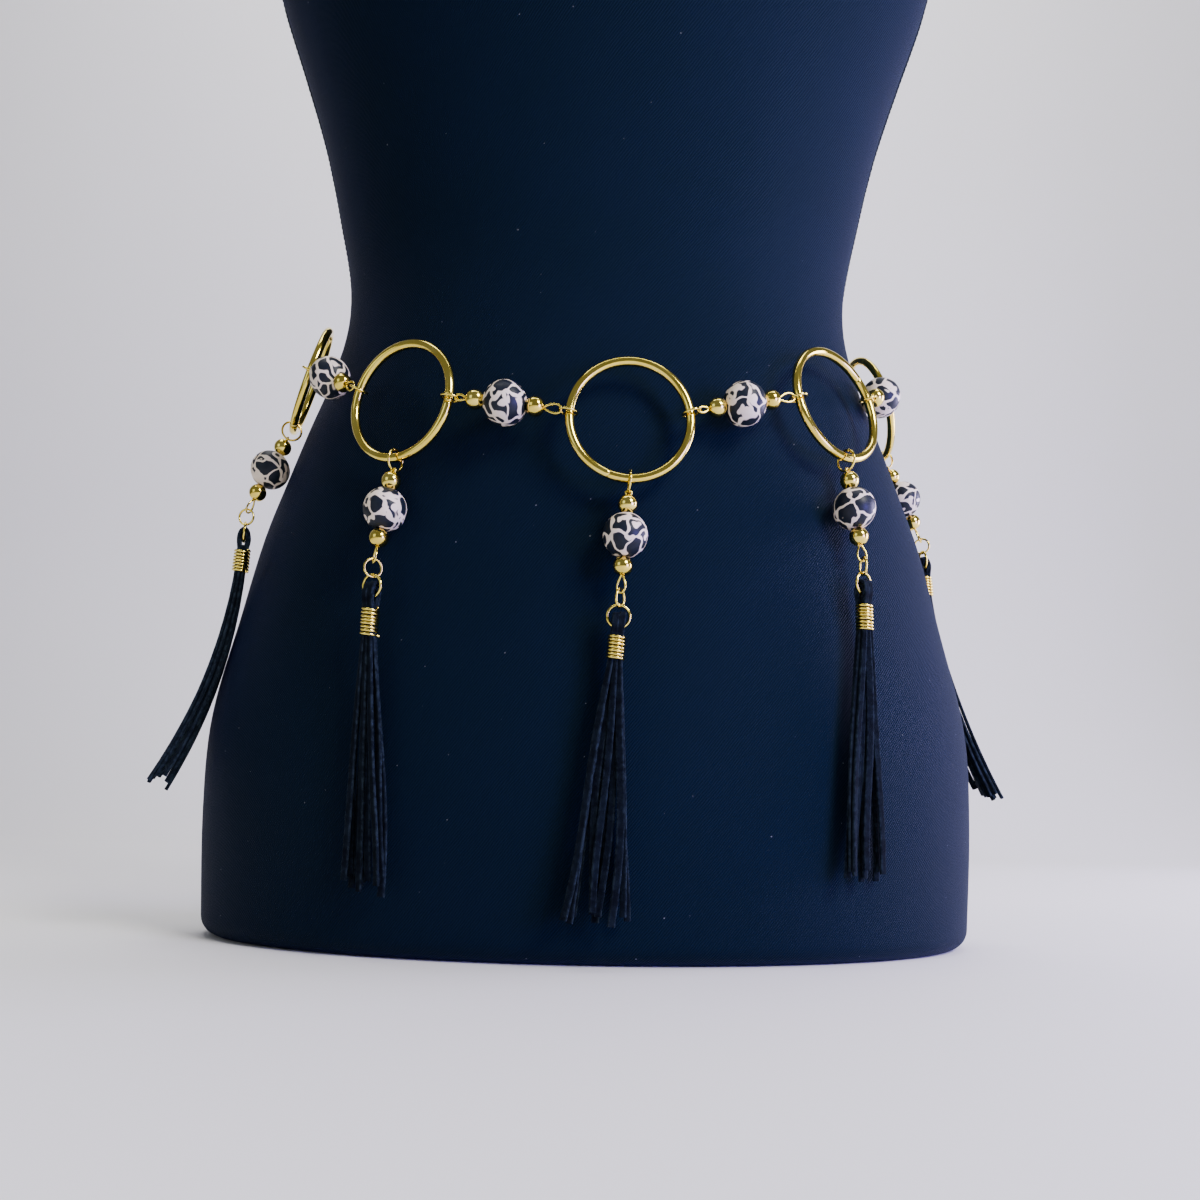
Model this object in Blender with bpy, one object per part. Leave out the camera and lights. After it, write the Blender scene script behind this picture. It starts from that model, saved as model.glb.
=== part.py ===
"""A beaded belt worn on a dress form.

Metres, +Z up. The origin is the middle of the form's flat base, and the front looks along -Y.
Eight gold rings and eight bead links go round the form, and five rings carry a drop with a tassel.
"""
import math
import random

import bpy
import bmesh
from mathutils import Matrix, Vector

# Dress form
FORM_ROWS = (
    # height, half width, front depth, back depth
    (0.000, 0.1865, 0.105, 0.119),
    (0.060, 0.1865, 0.108, 0.124),
    (0.104, 0.1830, 0.107, 0.122),
    (0.152, 0.1700, 0.104, 0.117),
    (0.190, 0.1590, 0.102, 0.116),
    (0.217, 0.1485, 0.100, 0.112),
    (0.242, 0.1385, 0.097, 0.108),
    (0.262, 0.1300, 0.094, 0.105),
    (0.290, 0.1215, 0.091, 0.101),
    (0.315, 0.1205, 0.090, 0.098),
    (0.350, 0.1265, 0.093, 0.097),
    (0.386, 0.1345, 0.100, 0.098),
    (0.420, 0.1450, 0.109, 0.100),
    (0.457, 0.1570, 0.120, 0.102),
    (0.500, 0.1660, 0.125, 0.104),
    (0.550, 0.1710, 0.113, 0.105),
    (0.600, 0.1740, 0.098, 0.105),
    (0.640, 0.1720, 0.086, 0.099),
    (0.672, 0.1560, 0.075, 0.089),
    (0.698, 0.1180, 0.066, 0.077),
    (0.718, 0.0820, 0.060, 0.067),
    (0.745, 0.0600, 0.055, 0.060),
    (0.790, 0.0560, 0.053, 0.057),
)
FORM_SQUARENESS = 1.95
FORM_SIDES = 40
FORM_LOOP_PITCH = 0.036
SHOULDER_START = 0.610
SHOULDER_LOOP_PITCH = 0.014
FORM_EDGE_RADIUS = 0.009
FORM_EDGE_STEPS = 3
CLEARANCE = 0.0003

# Belt line
BELT_ROWS = (
    # turn round the form in degrees, height of the chain
    (-180.0, 0.2840),
    (-127.0, 0.2770),
    (-77.0, 0.2610),
    (-32.0, 0.2305),
    (6.0, 0.2199),
    (45.0, 0.2376),
    (92.0, 0.2620),
    (140.0, 0.2780),
    (180.0, 0.2840),
)
CENTRE_RING_TURN = math.radians(6.0)
NEAREST_RING_TURN = 0.3
FARTHEST_RING_TURN = 1.3
NEAREST_STAND_OFF = 0.003
FARTHEST_STAND_OFF = 0.016
GREATEST_LEAN = 1.2

# Large rings
RING_COUNT = 8
CENTRE_RING = 5
RING_DIAMETER = 0.0528
RING_WIRE_RADIUS = 0.0019
ATTACH_TURN = math.radians(7.0)
RING_STEPS = 24
RING_SIDES = 6
RING_LEANS = {
    # ring: turn about the upright and tilt towards the form in degrees, against the form's surface
    4: (-3.5, 4.0),
    6: (3.0, 0.0),
}

# Beads
BEAD_RADIUS = 0.009
BEAD_END = 0.0086
BORE_RADIUS = 0.0009
GOLD_BEAD_RADIUS = 0.004
GOLD_BEAD_END = 0.0036
BEAD_SIDES = 10
BEAD_ROWS = 5
GOLD_BEAD_ROWS = 4
PIN_SIDES = 6
PIN_RADIUS = 0.0006

# Jump rings, eyes and links
LINK_JUMP_RADIUS = 0.0037
DROP_JUMP_RADIUS = 0.0044
JUMP_WIRE_RADIUS = 0.0005
JUMP_LEAN = math.radians(28.0)
JUMP_PLAY = 0.0006
EYE_WIRE_RADIUS = 0.00045
EYE_HALF_WIDTH = 0.0019
SMALL_EYE_HALF_WIDTH = 0.0012
LONG_EYE = 0.0075
SHORT_EYE = 0.0050
DROP_EYE = 0.0022
EYE_SINK = 0.0003
EYE_FULLNESS = 1.3
JOIN_DEPTH = 0.00015
LINK_PLAY = 0.0006
LOWER_EYE_TWIST = math.radians(-35.0)
HANGING_RING_TWIST = math.radians(60.0)
HANGING_RING_RADIUS = 0.0037
HANGING_RING_WIRE_RADIUS = 0.0005
TASSEL_RING_RADIUS = 0.0045
TASSEL_RING_WIRE_RADIUS = 0.0006
WIRE_STEPS = 10
EYE_STEPS = 8
WIRE_SIDES = 4
TASSEL_RING_STEPS = 12

# Lobster clasp
CLASP_LENGTH = 0.0125
CLASP_HALF_WIDTH = 0.0040
CLASP_WIRE_RADIUS = 0.0011
CLASP_TAIL_LENGTH = 0.0030
CLASP_TAIL_HALF_WIDTH = 0.0016
CLASP_STEPS = 14
CLASP_SIDES = 5
CLASP_TAIL_STEPS = 8

# Tassels
LACE_WIDTH = 0.0030
LACE_THICKNESS = 0.0013
FOLD_WIDTH = 0.0044
FOLD_THICKNESS = 0.0016
FOLD_STEPS = 8
FOLD_PLAY = 0.0005
FOLD_RISE = 0.0030
FOLD_DROP = 0.0007
HEAD_RADIUS = 0.0030
HEAD_SIDES = 10
HEAD_TOP_RADIUS = 0.00255
HEAD_SHOULDER = 0.0008
HEAD_BELOW_WRAP = 0.0004
WRAP_THICKNESS = 0.0005
WRAP_SIDES = 10
STRAND_LENGTH = 0.1060
STRANDS_PER_TASSEL = 10
STRAND_STEPS = 4
ROOT_RADIUS = 0.0019
ROOT_WIDTH = 0.0009
ROOT_THICKNESS = 0.0008
ROOT_DEPTH = 0.0008
SETTLE_RATE = 3.0
WIDEN_RATE = 1.3
FRONT_STAGGER = 0.25
BACK_STAGGER = 0.75
END_SCATTER = 0.0006
LAYER_DEPTH = 0.0016
LENGTH_SPREAD = 0.007

# Drops
DROPS = (
    # ring, sway in degrees, head top below the ring, wrap length, then of the laces' ends: half spread,
    # drift, flare and random seed
    (3, 0.0, 0.0030, 0.0115, 0.014, 0.003, 0.022, 3),
    (4, -3.4, 0.0034, 0.0126, 0.012, -0.007, 0.0, 5),
    (5, -3.7, 0.0022, 0.0106, 0.015, 0.0, 0.0, 8),
    (6, 1.7, 0.0034, 0.0121, 0.013, 0.005, 0.0, 11),
    (7, 0.0, 0.0028, 0.0110, 0.012, 0.004, 0.019, 14),
)

# Colours and finishes
GOLD = (0.80, 0.62, 0.28, 1.0)
CREAM = (0.78, 0.66, 0.50, 1.0)
SUEDE_BLACK = (0.010, 0.010, 0.013, 1.0)
TWILL_BLACK = (0.008, 0.014, 0.024, 1.0)
GOLD_ROUGHNESS = 0.18
WOOD_ROUGHNESS = 0.55
SUEDE_ROUGHNESS = 0.9
TWILL_ROUGHNESS = 0.85
SHARP_ANGLE = math.radians(50.0)

# Searches for places and slopes
SLOPE_STEP = 0.0005
TURN_STEP = 0.001
SEARCH_STEPS = 30

RING_RADIUS = RING_DIAMETER / 2 - RING_WIRE_RADIUS
RING_TO_JUMP_WIRE = RING_WIRE_RADIUS + JUMP_PLAY + JUMP_WIRE_RADIUS
LINK_JUMP_OFFSET = LINK_JUMP_RADIUS - RING_TO_JUMP_WIRE
DROP_JUMP_OFFSET = DROP_JUMP_RADIUS - RING_TO_JUMP_WIRE
JUMP_TO_EYE_WIRE = JUMP_WIRE_RADIUS + EYE_WIRE_RADIUS - JOIN_DEPTH
LINK_EYE_START = LINK_JUMP_OFFSET + LINK_JUMP_RADIUS - JUMP_TO_EYE_WIRE
DROP_EYE_START = DROP_JUMP_OFFSET + DROP_JUMP_RADIUS - JUMP_TO_EYE_WIRE
BEAD_PITCH = BEAD_END + CLEARANCE + GOLD_BEAD_END
PIN_END = BEAD_PITCH + GOLD_BEAD_END
LINK_RISE = LINK_EYE_START * math.sin(JUMP_LEAN)
LINK_START_REACH = LINK_EYE_START * math.cos(JUMP_LEAN) + SHORT_EYE - EYE_SINK + PIN_END
LINK_END_REACH = LINK_EYE_START * math.cos(JUMP_LEAN) + LONG_EYE - EYE_SINK + PIN_END
LINK_LENGTH = LINK_START_REACH + LINK_END_REACH
UP = Vector((0.0, 0.0, 1.0))


def clear_scene():
    for old in list(bpy.data.objects):
        bpy.data.objects.remove(old, do_unlink=True)


def material(name, colour, roughness, metallic):
    surface = bpy.data.materials.new(name)
    surface.use_nodes = True
    shader = surface.node_tree.nodes["Principled BSDF"]
    shader.inputs["Base Color"].default_value = colour
    shader.inputs["Roughness"].default_value = roughness
    shader.inputs["Metallic"].default_value = metallic
    return surface


def smooth_row(rows, key):
    """The later columns at a value of the first one, on a smooth curve through the rows."""
    key = min(max(key, rows[0][0]), rows[-1][0])
    index = 0
    while index < len(rows) - 2 and key > rows[index + 1][0]:
        index += 1
    span = rows[index + 1][0] - rows[index][0]
    t = (key - rows[index][0]) / span
    before = rows[max(index - 1, 0)]
    after = rows[min(index + 2, len(rows) - 1)]
    values = []
    for column in range(1, len(rows[0])):
        start = rows[index][column]
        end = rows[index + 1][column]
        slope_in = (end - before[column]) / (rows[index + 1][0] - before[0]) * span
        slope_out = (after[column] - start) / (after[0] - rows[index][0]) * span
        values.append(
            start * (2 * t ** 3 - 3 * t ** 2 + 1) + slope_in * (t ** 3 - 2 * t ** 2 + t)
            + end * (3 * t ** 2 - 2 * t ** 3) + slope_out * (t ** 3 - t ** 2)
        )
    return values


def form_point(turn, height, inset=0.0):
    """A point of the form's surface. turn is 0 at the front and grows towards +X."""
    half_width, front, back = smooth_row(FORM_ROWS, height)
    depth = front if math.cos(turn) > 0 else back
    power = 2 / FORM_SQUARENESS
    x = (half_width - inset) * math.copysign(abs(math.sin(turn)) ** power, math.sin(turn))
    y = (depth - inset) * math.copysign(abs(math.cos(turn)) ** power, math.cos(turn))
    return Vector((x, -y, height))


def form_level(point):
    """1 on the form's surface, more outside it."""
    half_width, front, back = smooth_row(FORM_ROWS, point.z)
    depth = front if point.y < 0 else back
    across = abs(point.x / half_width) ** FORM_SQUARENESS
    along = abs(point.y / depth) ** FORM_SQUARENESS
    return (across + along) ** (1 / FORM_SQUARENESS)


def form_slope(point):
    step = SLOPE_STEP
    axes = (Vector((step, 0, 0)), Vector((0, step, 0)), Vector((0, 0, step)))
    return Vector([(form_level(point + axis) - form_level(point - axis)) / (2 * step) for axis in axes])


def form_gap(point):
    """Distance from a point to the form, negative inside it."""
    return (form_level(point) - 1) / form_slope(point).length


def smallest(test, low, high):
    """The smallest value between low and high that passes a test, by halving."""
    if test(low):
        return low
    for _ in range(SEARCH_STEPS):
        middle = (low + high) / 2
        if test(middle):
            high = middle
        else:
            low = middle
    return high


def body_mesh(points, faces):
    mesh = bpy.data.meshes.new("body")
    mesh.from_pydata([tuple(point) for point in points], [], faces)
    shape = bmesh.new()
    shape.from_mesh(mesh)
    bmesh.ops.recalc_face_normals(shape, faces=shape.faces)
    shape.to_mesh(mesh)
    shape.free()
    return mesh


def bridged(loops, ring_closed):
    """Faces between equal loops of points, with the last loop joined to the first or both ends filled."""
    count = len(loops[0])
    points = [point for loop in loops for point in loop]
    faces = []
    last = len(loops) if ring_closed else len(loops) - 1
    for row in range(last):
        lower = row * count
        upper = (row + 1) % len(loops) * count
        for k in range(count):
            following = (k + 1) % count
            faces.append((lower + k, lower + following, upper + following, upper + k))
    if not ring_closed:
        faces.append(tuple(reversed(range(count))))
        faces.append(tuple(range((len(loops) - 1) * count, len(loops) * count)))
    return body_mesh(points, faces)


def turned(profile, sides, ring_closed=False):
    """A profile of (radius, height) pairs turned round Z."""
    loops = []
    for radius, height in profile:
        turns = [2 * math.pi * k / sides for k in range(sides)]
        loops.append([Vector((radius * math.cos(a), radius * math.sin(a), height)) for a in turns])
    return bridged(loops, ring_closed)


def closed_wire(path, plane_normal, half_thick, half_wide, sides):
    """A wire along a closed flat path. half_wide is its half size along the plane's normal."""
    loops = []
    count = len(path)
    start = math.pi / sides
    for k, point in enumerate(path):
        along = (path[(k + 1) % count] - path[k - 1]).normalized()
        out = along.cross(plane_normal)
        turns = [start + 2 * math.pi * side / sides for side in range(sides)]
        grow = 1 / math.cos(start) if sides == 4 else 1.0
        loops.append([
            point + out * half_thick * grow * math.cos(a) + plane_normal * half_wide * grow * math.sin(a)
            for a in turns
        ])
    return bridged(loops, True)


def round_path(radius, steps, height=0.0):
    """A circle in the XZ plane."""
    turns = [2 * math.pi * k / steps for k in range(steps)]
    return [Vector((radius * math.sin(a), 0, height + radius * math.cos(a))) for a in turns]


def drop_path(length, half_width, steps, top):
    """A drop-shaped loop in the XZ plane that hangs from top, narrow at the top."""
    path = []
    for k in range(steps):
        a = 2 * math.pi * k / steps
        x = half_width * EYE_FULLNESS * math.sin(a) * abs(math.sin(a / 2))
        path.append(Vector((x, 0, top - length / 2 + length / 2 * math.cos(a))))
    return path


def oval_path(length, half_width, steps, top):
    path = []
    for k in range(steps):
        a = 2 * math.pi * k / steps
        path.append(Vector((half_width * math.sin(a), 0, top - length / 2 + length / 2 * math.cos(a))))
    return path


def fused(bodies):
    """One closed mesh from bodies that overlap."""
    base = bpy.data.objects.new("base", bodies[0])
    bpy.context.scene.collection.objects.link(base)
    helpers = []
    for body in bodies[1:]:
        helper = bpy.data.objects.new("helper", body)
        helper.hide_render = True
        helper.display_type = "WIRE"
        bpy.context.scene.collection.objects.link(helper)
        union = base.modifiers.new("union", "BOOLEAN")
        union.operation = "UNION"
        union.solver = "EXACT"
        union.object = helper
        helpers.append(helper)
    bpy.context.view_layer.update()
    depsgraph = bpy.context.evaluated_depsgraph_get()
    mesh = bpy.data.meshes.new_from_object(base.evaluated_get(depsgraph))
    for helper in [base] + helpers:
        bpy.data.objects.remove(helper, do_unlink=True)
    return mesh


def transformed(mesh, matrix):
    mesh.transform(matrix)
    return mesh


def bead_outline(radius, end, rows):
    """The rounded side of a bead with flat ends, bottom to top."""
    reach = math.asin(end / radius)
    outline = []
    for k in range(rows):
        angle = -reach + 2 * reach * k / (rows - 1)
        outline.append((radius * math.cos(angle), radius * math.sin(angle)))
    return outline


def leopard_bead_mesh():
    outer = bead_outline(BEAD_RADIUS, BEAD_END, BEAD_ROWS)
    bore = [(BORE_RADIUS, BEAD_END), (BORE_RADIUS, -BEAD_END)]
    return turned(outer + bore, BEAD_SIDES, ring_closed=True)


def pin_mesh():
    """The wire between the eyes with its two gold beads, along Z, with the leopard bead's middle at 0."""
    bead = bead_outline(GOLD_BEAD_RADIUS, GOLD_BEAD_END, GOLD_BEAD_ROWS)
    lower = [(radius, height - BEAD_PITCH) for radius, height in bead]
    upper = [(radius, height + BEAD_PITCH) for radius, height in bead]
    wire = [(PIN_RADIUS, -BEAD_END - CLEARANCE), (PIN_RADIUS, BEAD_END + CLEARANCE)]
    return turned(lower + wire + upper, PIN_SIDES)


def jump_ring_mesh(radius, depth, height):
    """A jump ring in the YZ plane, so that it turns round a wire along X."""
    wire = closed_wire(round_path(radius, WIRE_STEPS), Vector((0, 1, 0)),
                       JUMP_WIRE_RADIUS, JUMP_WIRE_RADIUS, WIRE_SIDES)
    place = Matrix.Translation((0, depth, height))
    return transformed(wire, place @ Matrix.Rotation(math.pi / 2, 4, "Z"))


def eye_mesh(bead_end, length, points_up, twist=0.0):
    """An open eye whose narrow end is in a gold bead's end."""
    half_width = EYE_HALF_WIDTH if length == LONG_EYE else SMALL_EYE_HALF_WIDTH
    wire = closed_wire(drop_path(length, half_width, EYE_STEPS, EYE_SINK), Vector((0, 1, 0)),
                       EYE_WIRE_RADIUS, EYE_WIRE_RADIUS, WIRE_SIDES)
    flip = Matrix.Rotation(math.pi, 4, "Y") if points_up else Matrix.Identity(4)
    return transformed(wire, Matrix.Translation((0, 0, bead_end)) @ Matrix.Rotation(twist, 4, "Z") @ flip)


def link_pin_mesh(with_far_jump_ring):
    """A bead link along Z without its leopard bead, whose middle is at 0.

    The large rings' wires pass along X, LINK_RISE nearer the form than the pin, at both reaches.
    """
    jump_depth = LINK_JUMP_OFFSET * math.sin(JUMP_LEAN) - LINK_RISE
    jump_in = LINK_JUMP_OFFSET * math.cos(JUMP_LEAN)
    bodies = [
        pin_mesh(),
        eye_mesh(PIN_END, LONG_EYE, True),
        eye_mesh(-PIN_END, SHORT_EYE, False),
        jump_ring_mesh(LINK_JUMP_RADIUS, jump_depth, jump_in - LINK_START_REACH),
    ]
    if with_far_jump_ring:
        bodies.append(jump_ring_mesh(LINK_JUMP_RADIUS, jump_depth, LINK_END_REACH - jump_in))
    return fused(bodies)


def drop_pin_mesh():
    """A drop's pin with its gold beads, eyes and jump ring. The large ring's wire passes along X at 0."""
    middle = drop_bead_height()
    return fused([
        transformed(pin_mesh(), Matrix.Translation((0, 0, middle))),
        eye_mesh(middle + PIN_END, DROP_EYE, True),
        eye_mesh(middle - PIN_END, LONG_EYE, False, LOWER_EYE_TWIST),
        jump_ring_mesh(DROP_JUMP_RADIUS, 0.0, -DROP_JUMP_OFFSET),
    ])


def drop_bead_height():
    return -(DROP_EYE_START + DROP_EYE - EYE_SINK + PIN_END)


def lower_eye_wire():
    """Height of the lower eye's lowest wire, from the large ring's wire."""
    return drop_bead_height() - PIN_END + EYE_SINK - LONG_EYE


def drop_links_mesh():
    """The hanging ring and the tassel's ring. The lower eye's lowest wire passes at 0."""
    middle = EYE_WIRE_RADIUS + LINK_PLAY + HANGING_RING_WIRE_RADIUS - HANGING_RING_RADIUS
    hanging = closed_wire(round_path(HANGING_RING_RADIUS, WIRE_STEPS, middle), Vector((0, 1, 0)),
                          HANGING_RING_WIRE_RADIUS, HANGING_RING_WIRE_RADIUS, WIRE_SIDES)
    ring_top = tassel_ring_height() + TASSEL_RING_RADIUS
    ring = closed_wire(round_path(TASSEL_RING_RADIUS, TASSEL_RING_STEPS, ring_top - TASSEL_RING_RADIUS),
                       Vector((0, 1, 0)), TASSEL_RING_WIRE_RADIUS, TASSEL_RING_WIRE_RADIUS, WIRE_SIDES)
    return fused([
        transformed(hanging, Matrix.Rotation(HANGING_RING_TWIST, 4, "Z")),
        ring,
    ])


def tassel_ring_height():
    """Height of the tassel ring's middle, from the lower eye's lowest wire."""
    bottom = EYE_WIRE_RADIUS + LINK_PLAY + HANGING_RING_WIRE_RADIUS - 2 * HANGING_RING_RADIUS
    ring_top = bottom + HANGING_RING_WIRE_RADIUS + TASSEL_RING_WIRE_RADIUS - JOIN_DEPTH
    return ring_top - TASSEL_RING_RADIUS


def strand_places(half_spread, drift, seed):
    """For each strand its root angle, its end's place across and in depth, and its length."""
    chance = random.Random(seed)
    per_layer = STRANDS_PER_TASSEL // 2
    places = []
    for k in range(STRANDS_PER_TASSEL):
        root_angle = math.pi * (k + 0.5) / per_layer
        front = k < per_layer
        rank = k if front else STRANDS_PER_TASSEL - 1 - k
        across = (1 - 2 * (rank + (FRONT_STAGGER if front else BACK_STAGGER)) / per_layer) * half_spread
        across += drift + chance.uniform(-END_SCATTER, END_SCATTER)
        depth = LAYER_DEPTH if front else -LAYER_DEPTH
        length = STRAND_LENGTH - chance.uniform(0.0, LENGTH_SPREAD)
        places.append((root_angle, across, depth, length))
    return places


def strand_mesh(place, start, flare):
    """One strand of lace, from its root inside the head downwards. Its end stands out by the flare."""
    root_angle, across, depth, length = place
    root = Vector((ROOT_RADIUS * math.cos(root_angle), ROOT_RADIUS * math.sin(root_angle), start))
    loops = []
    for k in range(STRAND_STEPS + 1):
        t = k / STRAND_STEPS
        settle = min(1.0, SETTLE_RATE * t)
        widen = min(1.0, WIDEN_RATE * t)
        x = root.x + (across - root.x) * t
        y = root.y + (depth - root.y) * settle + flare * t * t
        half_width = (ROOT_WIDTH + (LACE_WIDTH - ROOT_WIDTH) * widen) / 2
        half_thick = (ROOT_THICKNESS + (LACE_THICKNESS - ROOT_THICKNESS) * settle) / 2
        z = start - t * length
        loops.append([
            Vector((x - half_width, y - half_thick, z)),
            Vector((x + half_width, y - half_thick, z)),
            Vector((x + half_width, y + half_thick, z)),
            Vector((x - half_width, y + half_thick, z)),
        ])
    return bridged(loops, False)


def tassel_mesh(head_top, wrap_length, half_spread, drift, flare, seed):
    """Lace folded over the tassel's ring, whose lowest wire passes along X at 0."""
    reach = TASSEL_RING_WIRE_RADIUS + FOLD_PLAY + FOLD_THICKNESS / 2
    path = []
    for k in range(FOLD_STEPS):
        a = 2 * math.pi * k / FOLD_STEPS
        rise = FOLD_RISE * max(0, round(math.cos(a))) + FOLD_DROP * min(0, round(math.cos(a)))
        path.append(Vector((0, reach * math.sin(a), reach * math.cos(a) + rise)))
    fold = closed_wire(path, Vector((1, 0, 0)), FOLD_THICKNESS / 2, FOLD_WIDTH / 2, 4)
    wrap_top = -head_top - CLEARANCE
    head_bottom = -head_top - wrap_length - HEAD_BELOW_WRAP
    head = turned([(HEAD_TOP_RADIUS, wrap_top + HEAD_SHOULDER), (HEAD_RADIUS, wrap_top),
                   (HEAD_RADIUS, head_bottom)], HEAD_SIDES)
    strands = [strand_mesh(place, head_bottom + ROOT_DEPTH, flare)
               for place in strand_places(half_spread, drift, seed)]
    return fused([head, fold] + strands)


def wrap_mesh(head_top, wrap_length):
    inner = HEAD_RADIUS + CLEARANCE
    outer = inner + WRAP_THICKNESS
    top = -head_top - CLEARANCE
    bottom = -head_top - wrap_length
    profile = [(outer, bottom), (outer, top), (inner, top), (inner, bottom)]
    return turned(profile, WRAP_SIDES, ring_closed=True)


def clasp_mesh():
    """A closed lobster clasp that hangs from the far eye's wire at 0. The large ring passes near its end."""
    tail_top = EYE_WIRE_RADIUS + LINK_PLAY + JUMP_WIRE_RADIUS
    tail = closed_wire(oval_path(CLASP_TAIL_LENGTH, CLASP_TAIL_HALF_WIDTH, CLASP_TAIL_STEPS, tail_top),
                       Vector((0, 1, 0)), JUMP_WIRE_RADIUS, JUMP_WIRE_RADIUS, WIRE_SIDES)
    hook_top = tail_top - CLASP_TAIL_LENGTH - JUMP_WIRE_RADIUS
    hook = closed_wire(drop_path(CLASP_LENGTH, CLASP_HALF_WIDTH, CLASP_STEPS, hook_top), Vector((0, 1, 0)),
                       CLASP_WIRE_RADIUS, CLASP_WIRE_RADIUS, CLASP_SIDES)
    return transformed(fused([hook, tail]), Matrix.Rotation(math.pi / 2, 4, "Z"))


def form_mesh():
    top = FORM_ROWS[-1][0]
    loops = []
    heights = []
    for k in range(FORM_EDGE_STEPS + 1):
        angle = math.pi / 2 * k / FORM_EDGE_STEPS
        height = FORM_EDGE_RADIUS * (1 - math.sin(angle))
        heights.append((height, FORM_EDGE_RADIUS * (1 - math.cos(angle))))
    heights.reverse()
    upper_edge = [(top - height, inset) for height, inset in reversed(heights)]
    steps = round((SHOULDER_START - FORM_EDGE_RADIUS) / FORM_LOOP_PITCH)
    for k in range(1, steps):
        heights.append((FORM_EDGE_RADIUS + (SHOULDER_START - FORM_EDGE_RADIUS) * k / steps, 0.0))
    steps = round((top - FORM_EDGE_RADIUS - SHOULDER_START) / SHOULDER_LOOP_PITCH)
    for k in range(steps):
        heights.append((SHOULDER_START + (top - FORM_EDGE_RADIUS - SHOULDER_START) * k / steps, 0.0))
    heights += upper_edge
    for height, inset in heights:
        turns = [2 * math.pi * k / FORM_SIDES for k in range(FORM_SIDES)]
        loops.append([form_point(turn, height, inset) for turn in turns])
    return bridged(loops, False)


def belt_height(turn):
    return smooth_row(BELT_ROWS, math.degrees(turn))[0]


def ring_centre(turn, stand_off):
    surface = form_point(turn, belt_height(turn))
    return surface + form_slope(surface).normalized() * stand_off


class RingPlace:
    """Where a large ring lies: its middle, its outward normal and the directions along and down its plane."""

    def __init__(self, number, turn, stand_off):
        step = TURN_STEP
        extra_turn, tilt = RING_LEANS.get(number, (0.0, 0.0))
        self.turn = turn
        self.centre = ring_centre(turn, stand_off)
        self.normal = form_slope(form_point(turn, belt_height(turn))).normalized()
        ahead = ring_centre(turn + step, stand_off) - ring_centre(turn - step, stand_off)
        lean = Matrix.Rotation(math.radians(tilt), 3, ahead.normalized())
        self.normal = Matrix.Rotation(math.radians(extra_turn), 3, "Z") @ lean @ self.normal
        self.along = (ahead - self.normal * ahead.dot(self.normal)).normalized()
        self.down = -(UP - self.normal * UP.dot(self.normal)).normalized()
        across = self.along * RING_RADIUS * math.cos(ATTACH_TURN)
        raised = self.normal.cross(self.along) * RING_RADIUS * math.sin(ATTACH_TURN)
        self.right_wire = self.centre + across + raised
        self.left_wire = self.centre - across + raised
        self.bottom_wire = self.centre + self.down * RING_RADIUS

    def matrix(self):
        return axes_matrix(self.normal.cross(self.down), self.normal, -self.down, self.centre)


def axes_matrix(x_axis, y_axis, z_axis, place):
    matrix = Matrix((x_axis, y_axis, z_axis)).transposed().to_4x4()
    matrix.translation = place
    return matrix


def ring_places(stand_off):
    """The rings' places from the left end of the belt to its right end, each one link from its neighbour."""
    places = {CENTRE_RING: RingPlace(CENTRE_RING, CENTRE_RING_TURN, stand_off)}
    for number in range(CENTRE_RING + 1, RING_COUNT + 1):
        last = places[number - 1]
        turn = smallest(
            lambda ahead: (RingPlace(number, ahead, stand_off).left_wire - last.right_wire).length
            > LINK_LENGTH,
            last.turn + NEAREST_RING_TURN, last.turn + FARTHEST_RING_TURN)
        places[number] = RingPlace(number, turn, stand_off)
    for number in range(CENTRE_RING - 1, 0, -1):
        last = places[number + 1]
        turn = smallest(
            lambda back: (RingPlace(number, -back, stand_off).right_wire - last.left_wire).length
            > LINK_LENGTH,
            -last.turn + NEAREST_RING_TURN, -last.turn + FARTHEST_RING_TURN)
        places[number] = RingPlace(number, -turn, stand_off)
    return places


def link_matrix(start, end):
    """The frame of a link at its bead's middle, with Z along it, X along the rings' wires and Y outwards."""
    along = (end.left_wire - start.right_wire).normalized()
    wires = start.normal.cross(start.along) + end.normal.cross(end.along)
    across = (wires - along * wires.dot(along)).normalized()
    outward = along.cross(across)
    middle = start.right_wire + along * LINK_START_REACH + outward * LINK_RISE
    return axes_matrix(across, outward, along, middle)


def link_matrices(places):
    """The frames of all links. The last one closes the belt, from the last ring to the first."""
    numbers = range(1, RING_COUNT + 1)
    return [link_matrix(places[number], places[number % RING_COUNT + 1]) for number in numbers]


def seated_places():
    """The rings' places with the chain as close to the form as its beads let it lie."""
    rest = BEAD_RADIUS + CLEARANCE

    def clear(stand_off):
        return all(form_gap(frame.translation) > rest for frame in link_matrices(ring_places(stand_off)))

    stand_off = smallest(clear, NEAREST_STAND_OFF, FARTHEST_STAND_OFF)
    return ring_places(stand_off)


def drop_axes(place):
    """A drop's sideways axis, along the ring's wire, and the level direction away from the form."""
    across = place.down.cross(place.normal).normalized()
    across.z = 0.0
    across.normalize()
    outward = UP.cross(across)
    if outward.dot(place.normal) < 0:
        across = -across
        outward = -outward
    return across, outward


def leaning(across, outward, lean, sway, place):
    """A hanging frame whose lower end leans away from the form and sways sideways."""
    down = (-UP * math.cos(lean) + outward * math.sin(lean)).normalized()
    upright = axes_matrix(across, across.cross(down), -down, place)
    return upright @ Matrix.Rotation(sway, 4, "Y")


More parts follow.
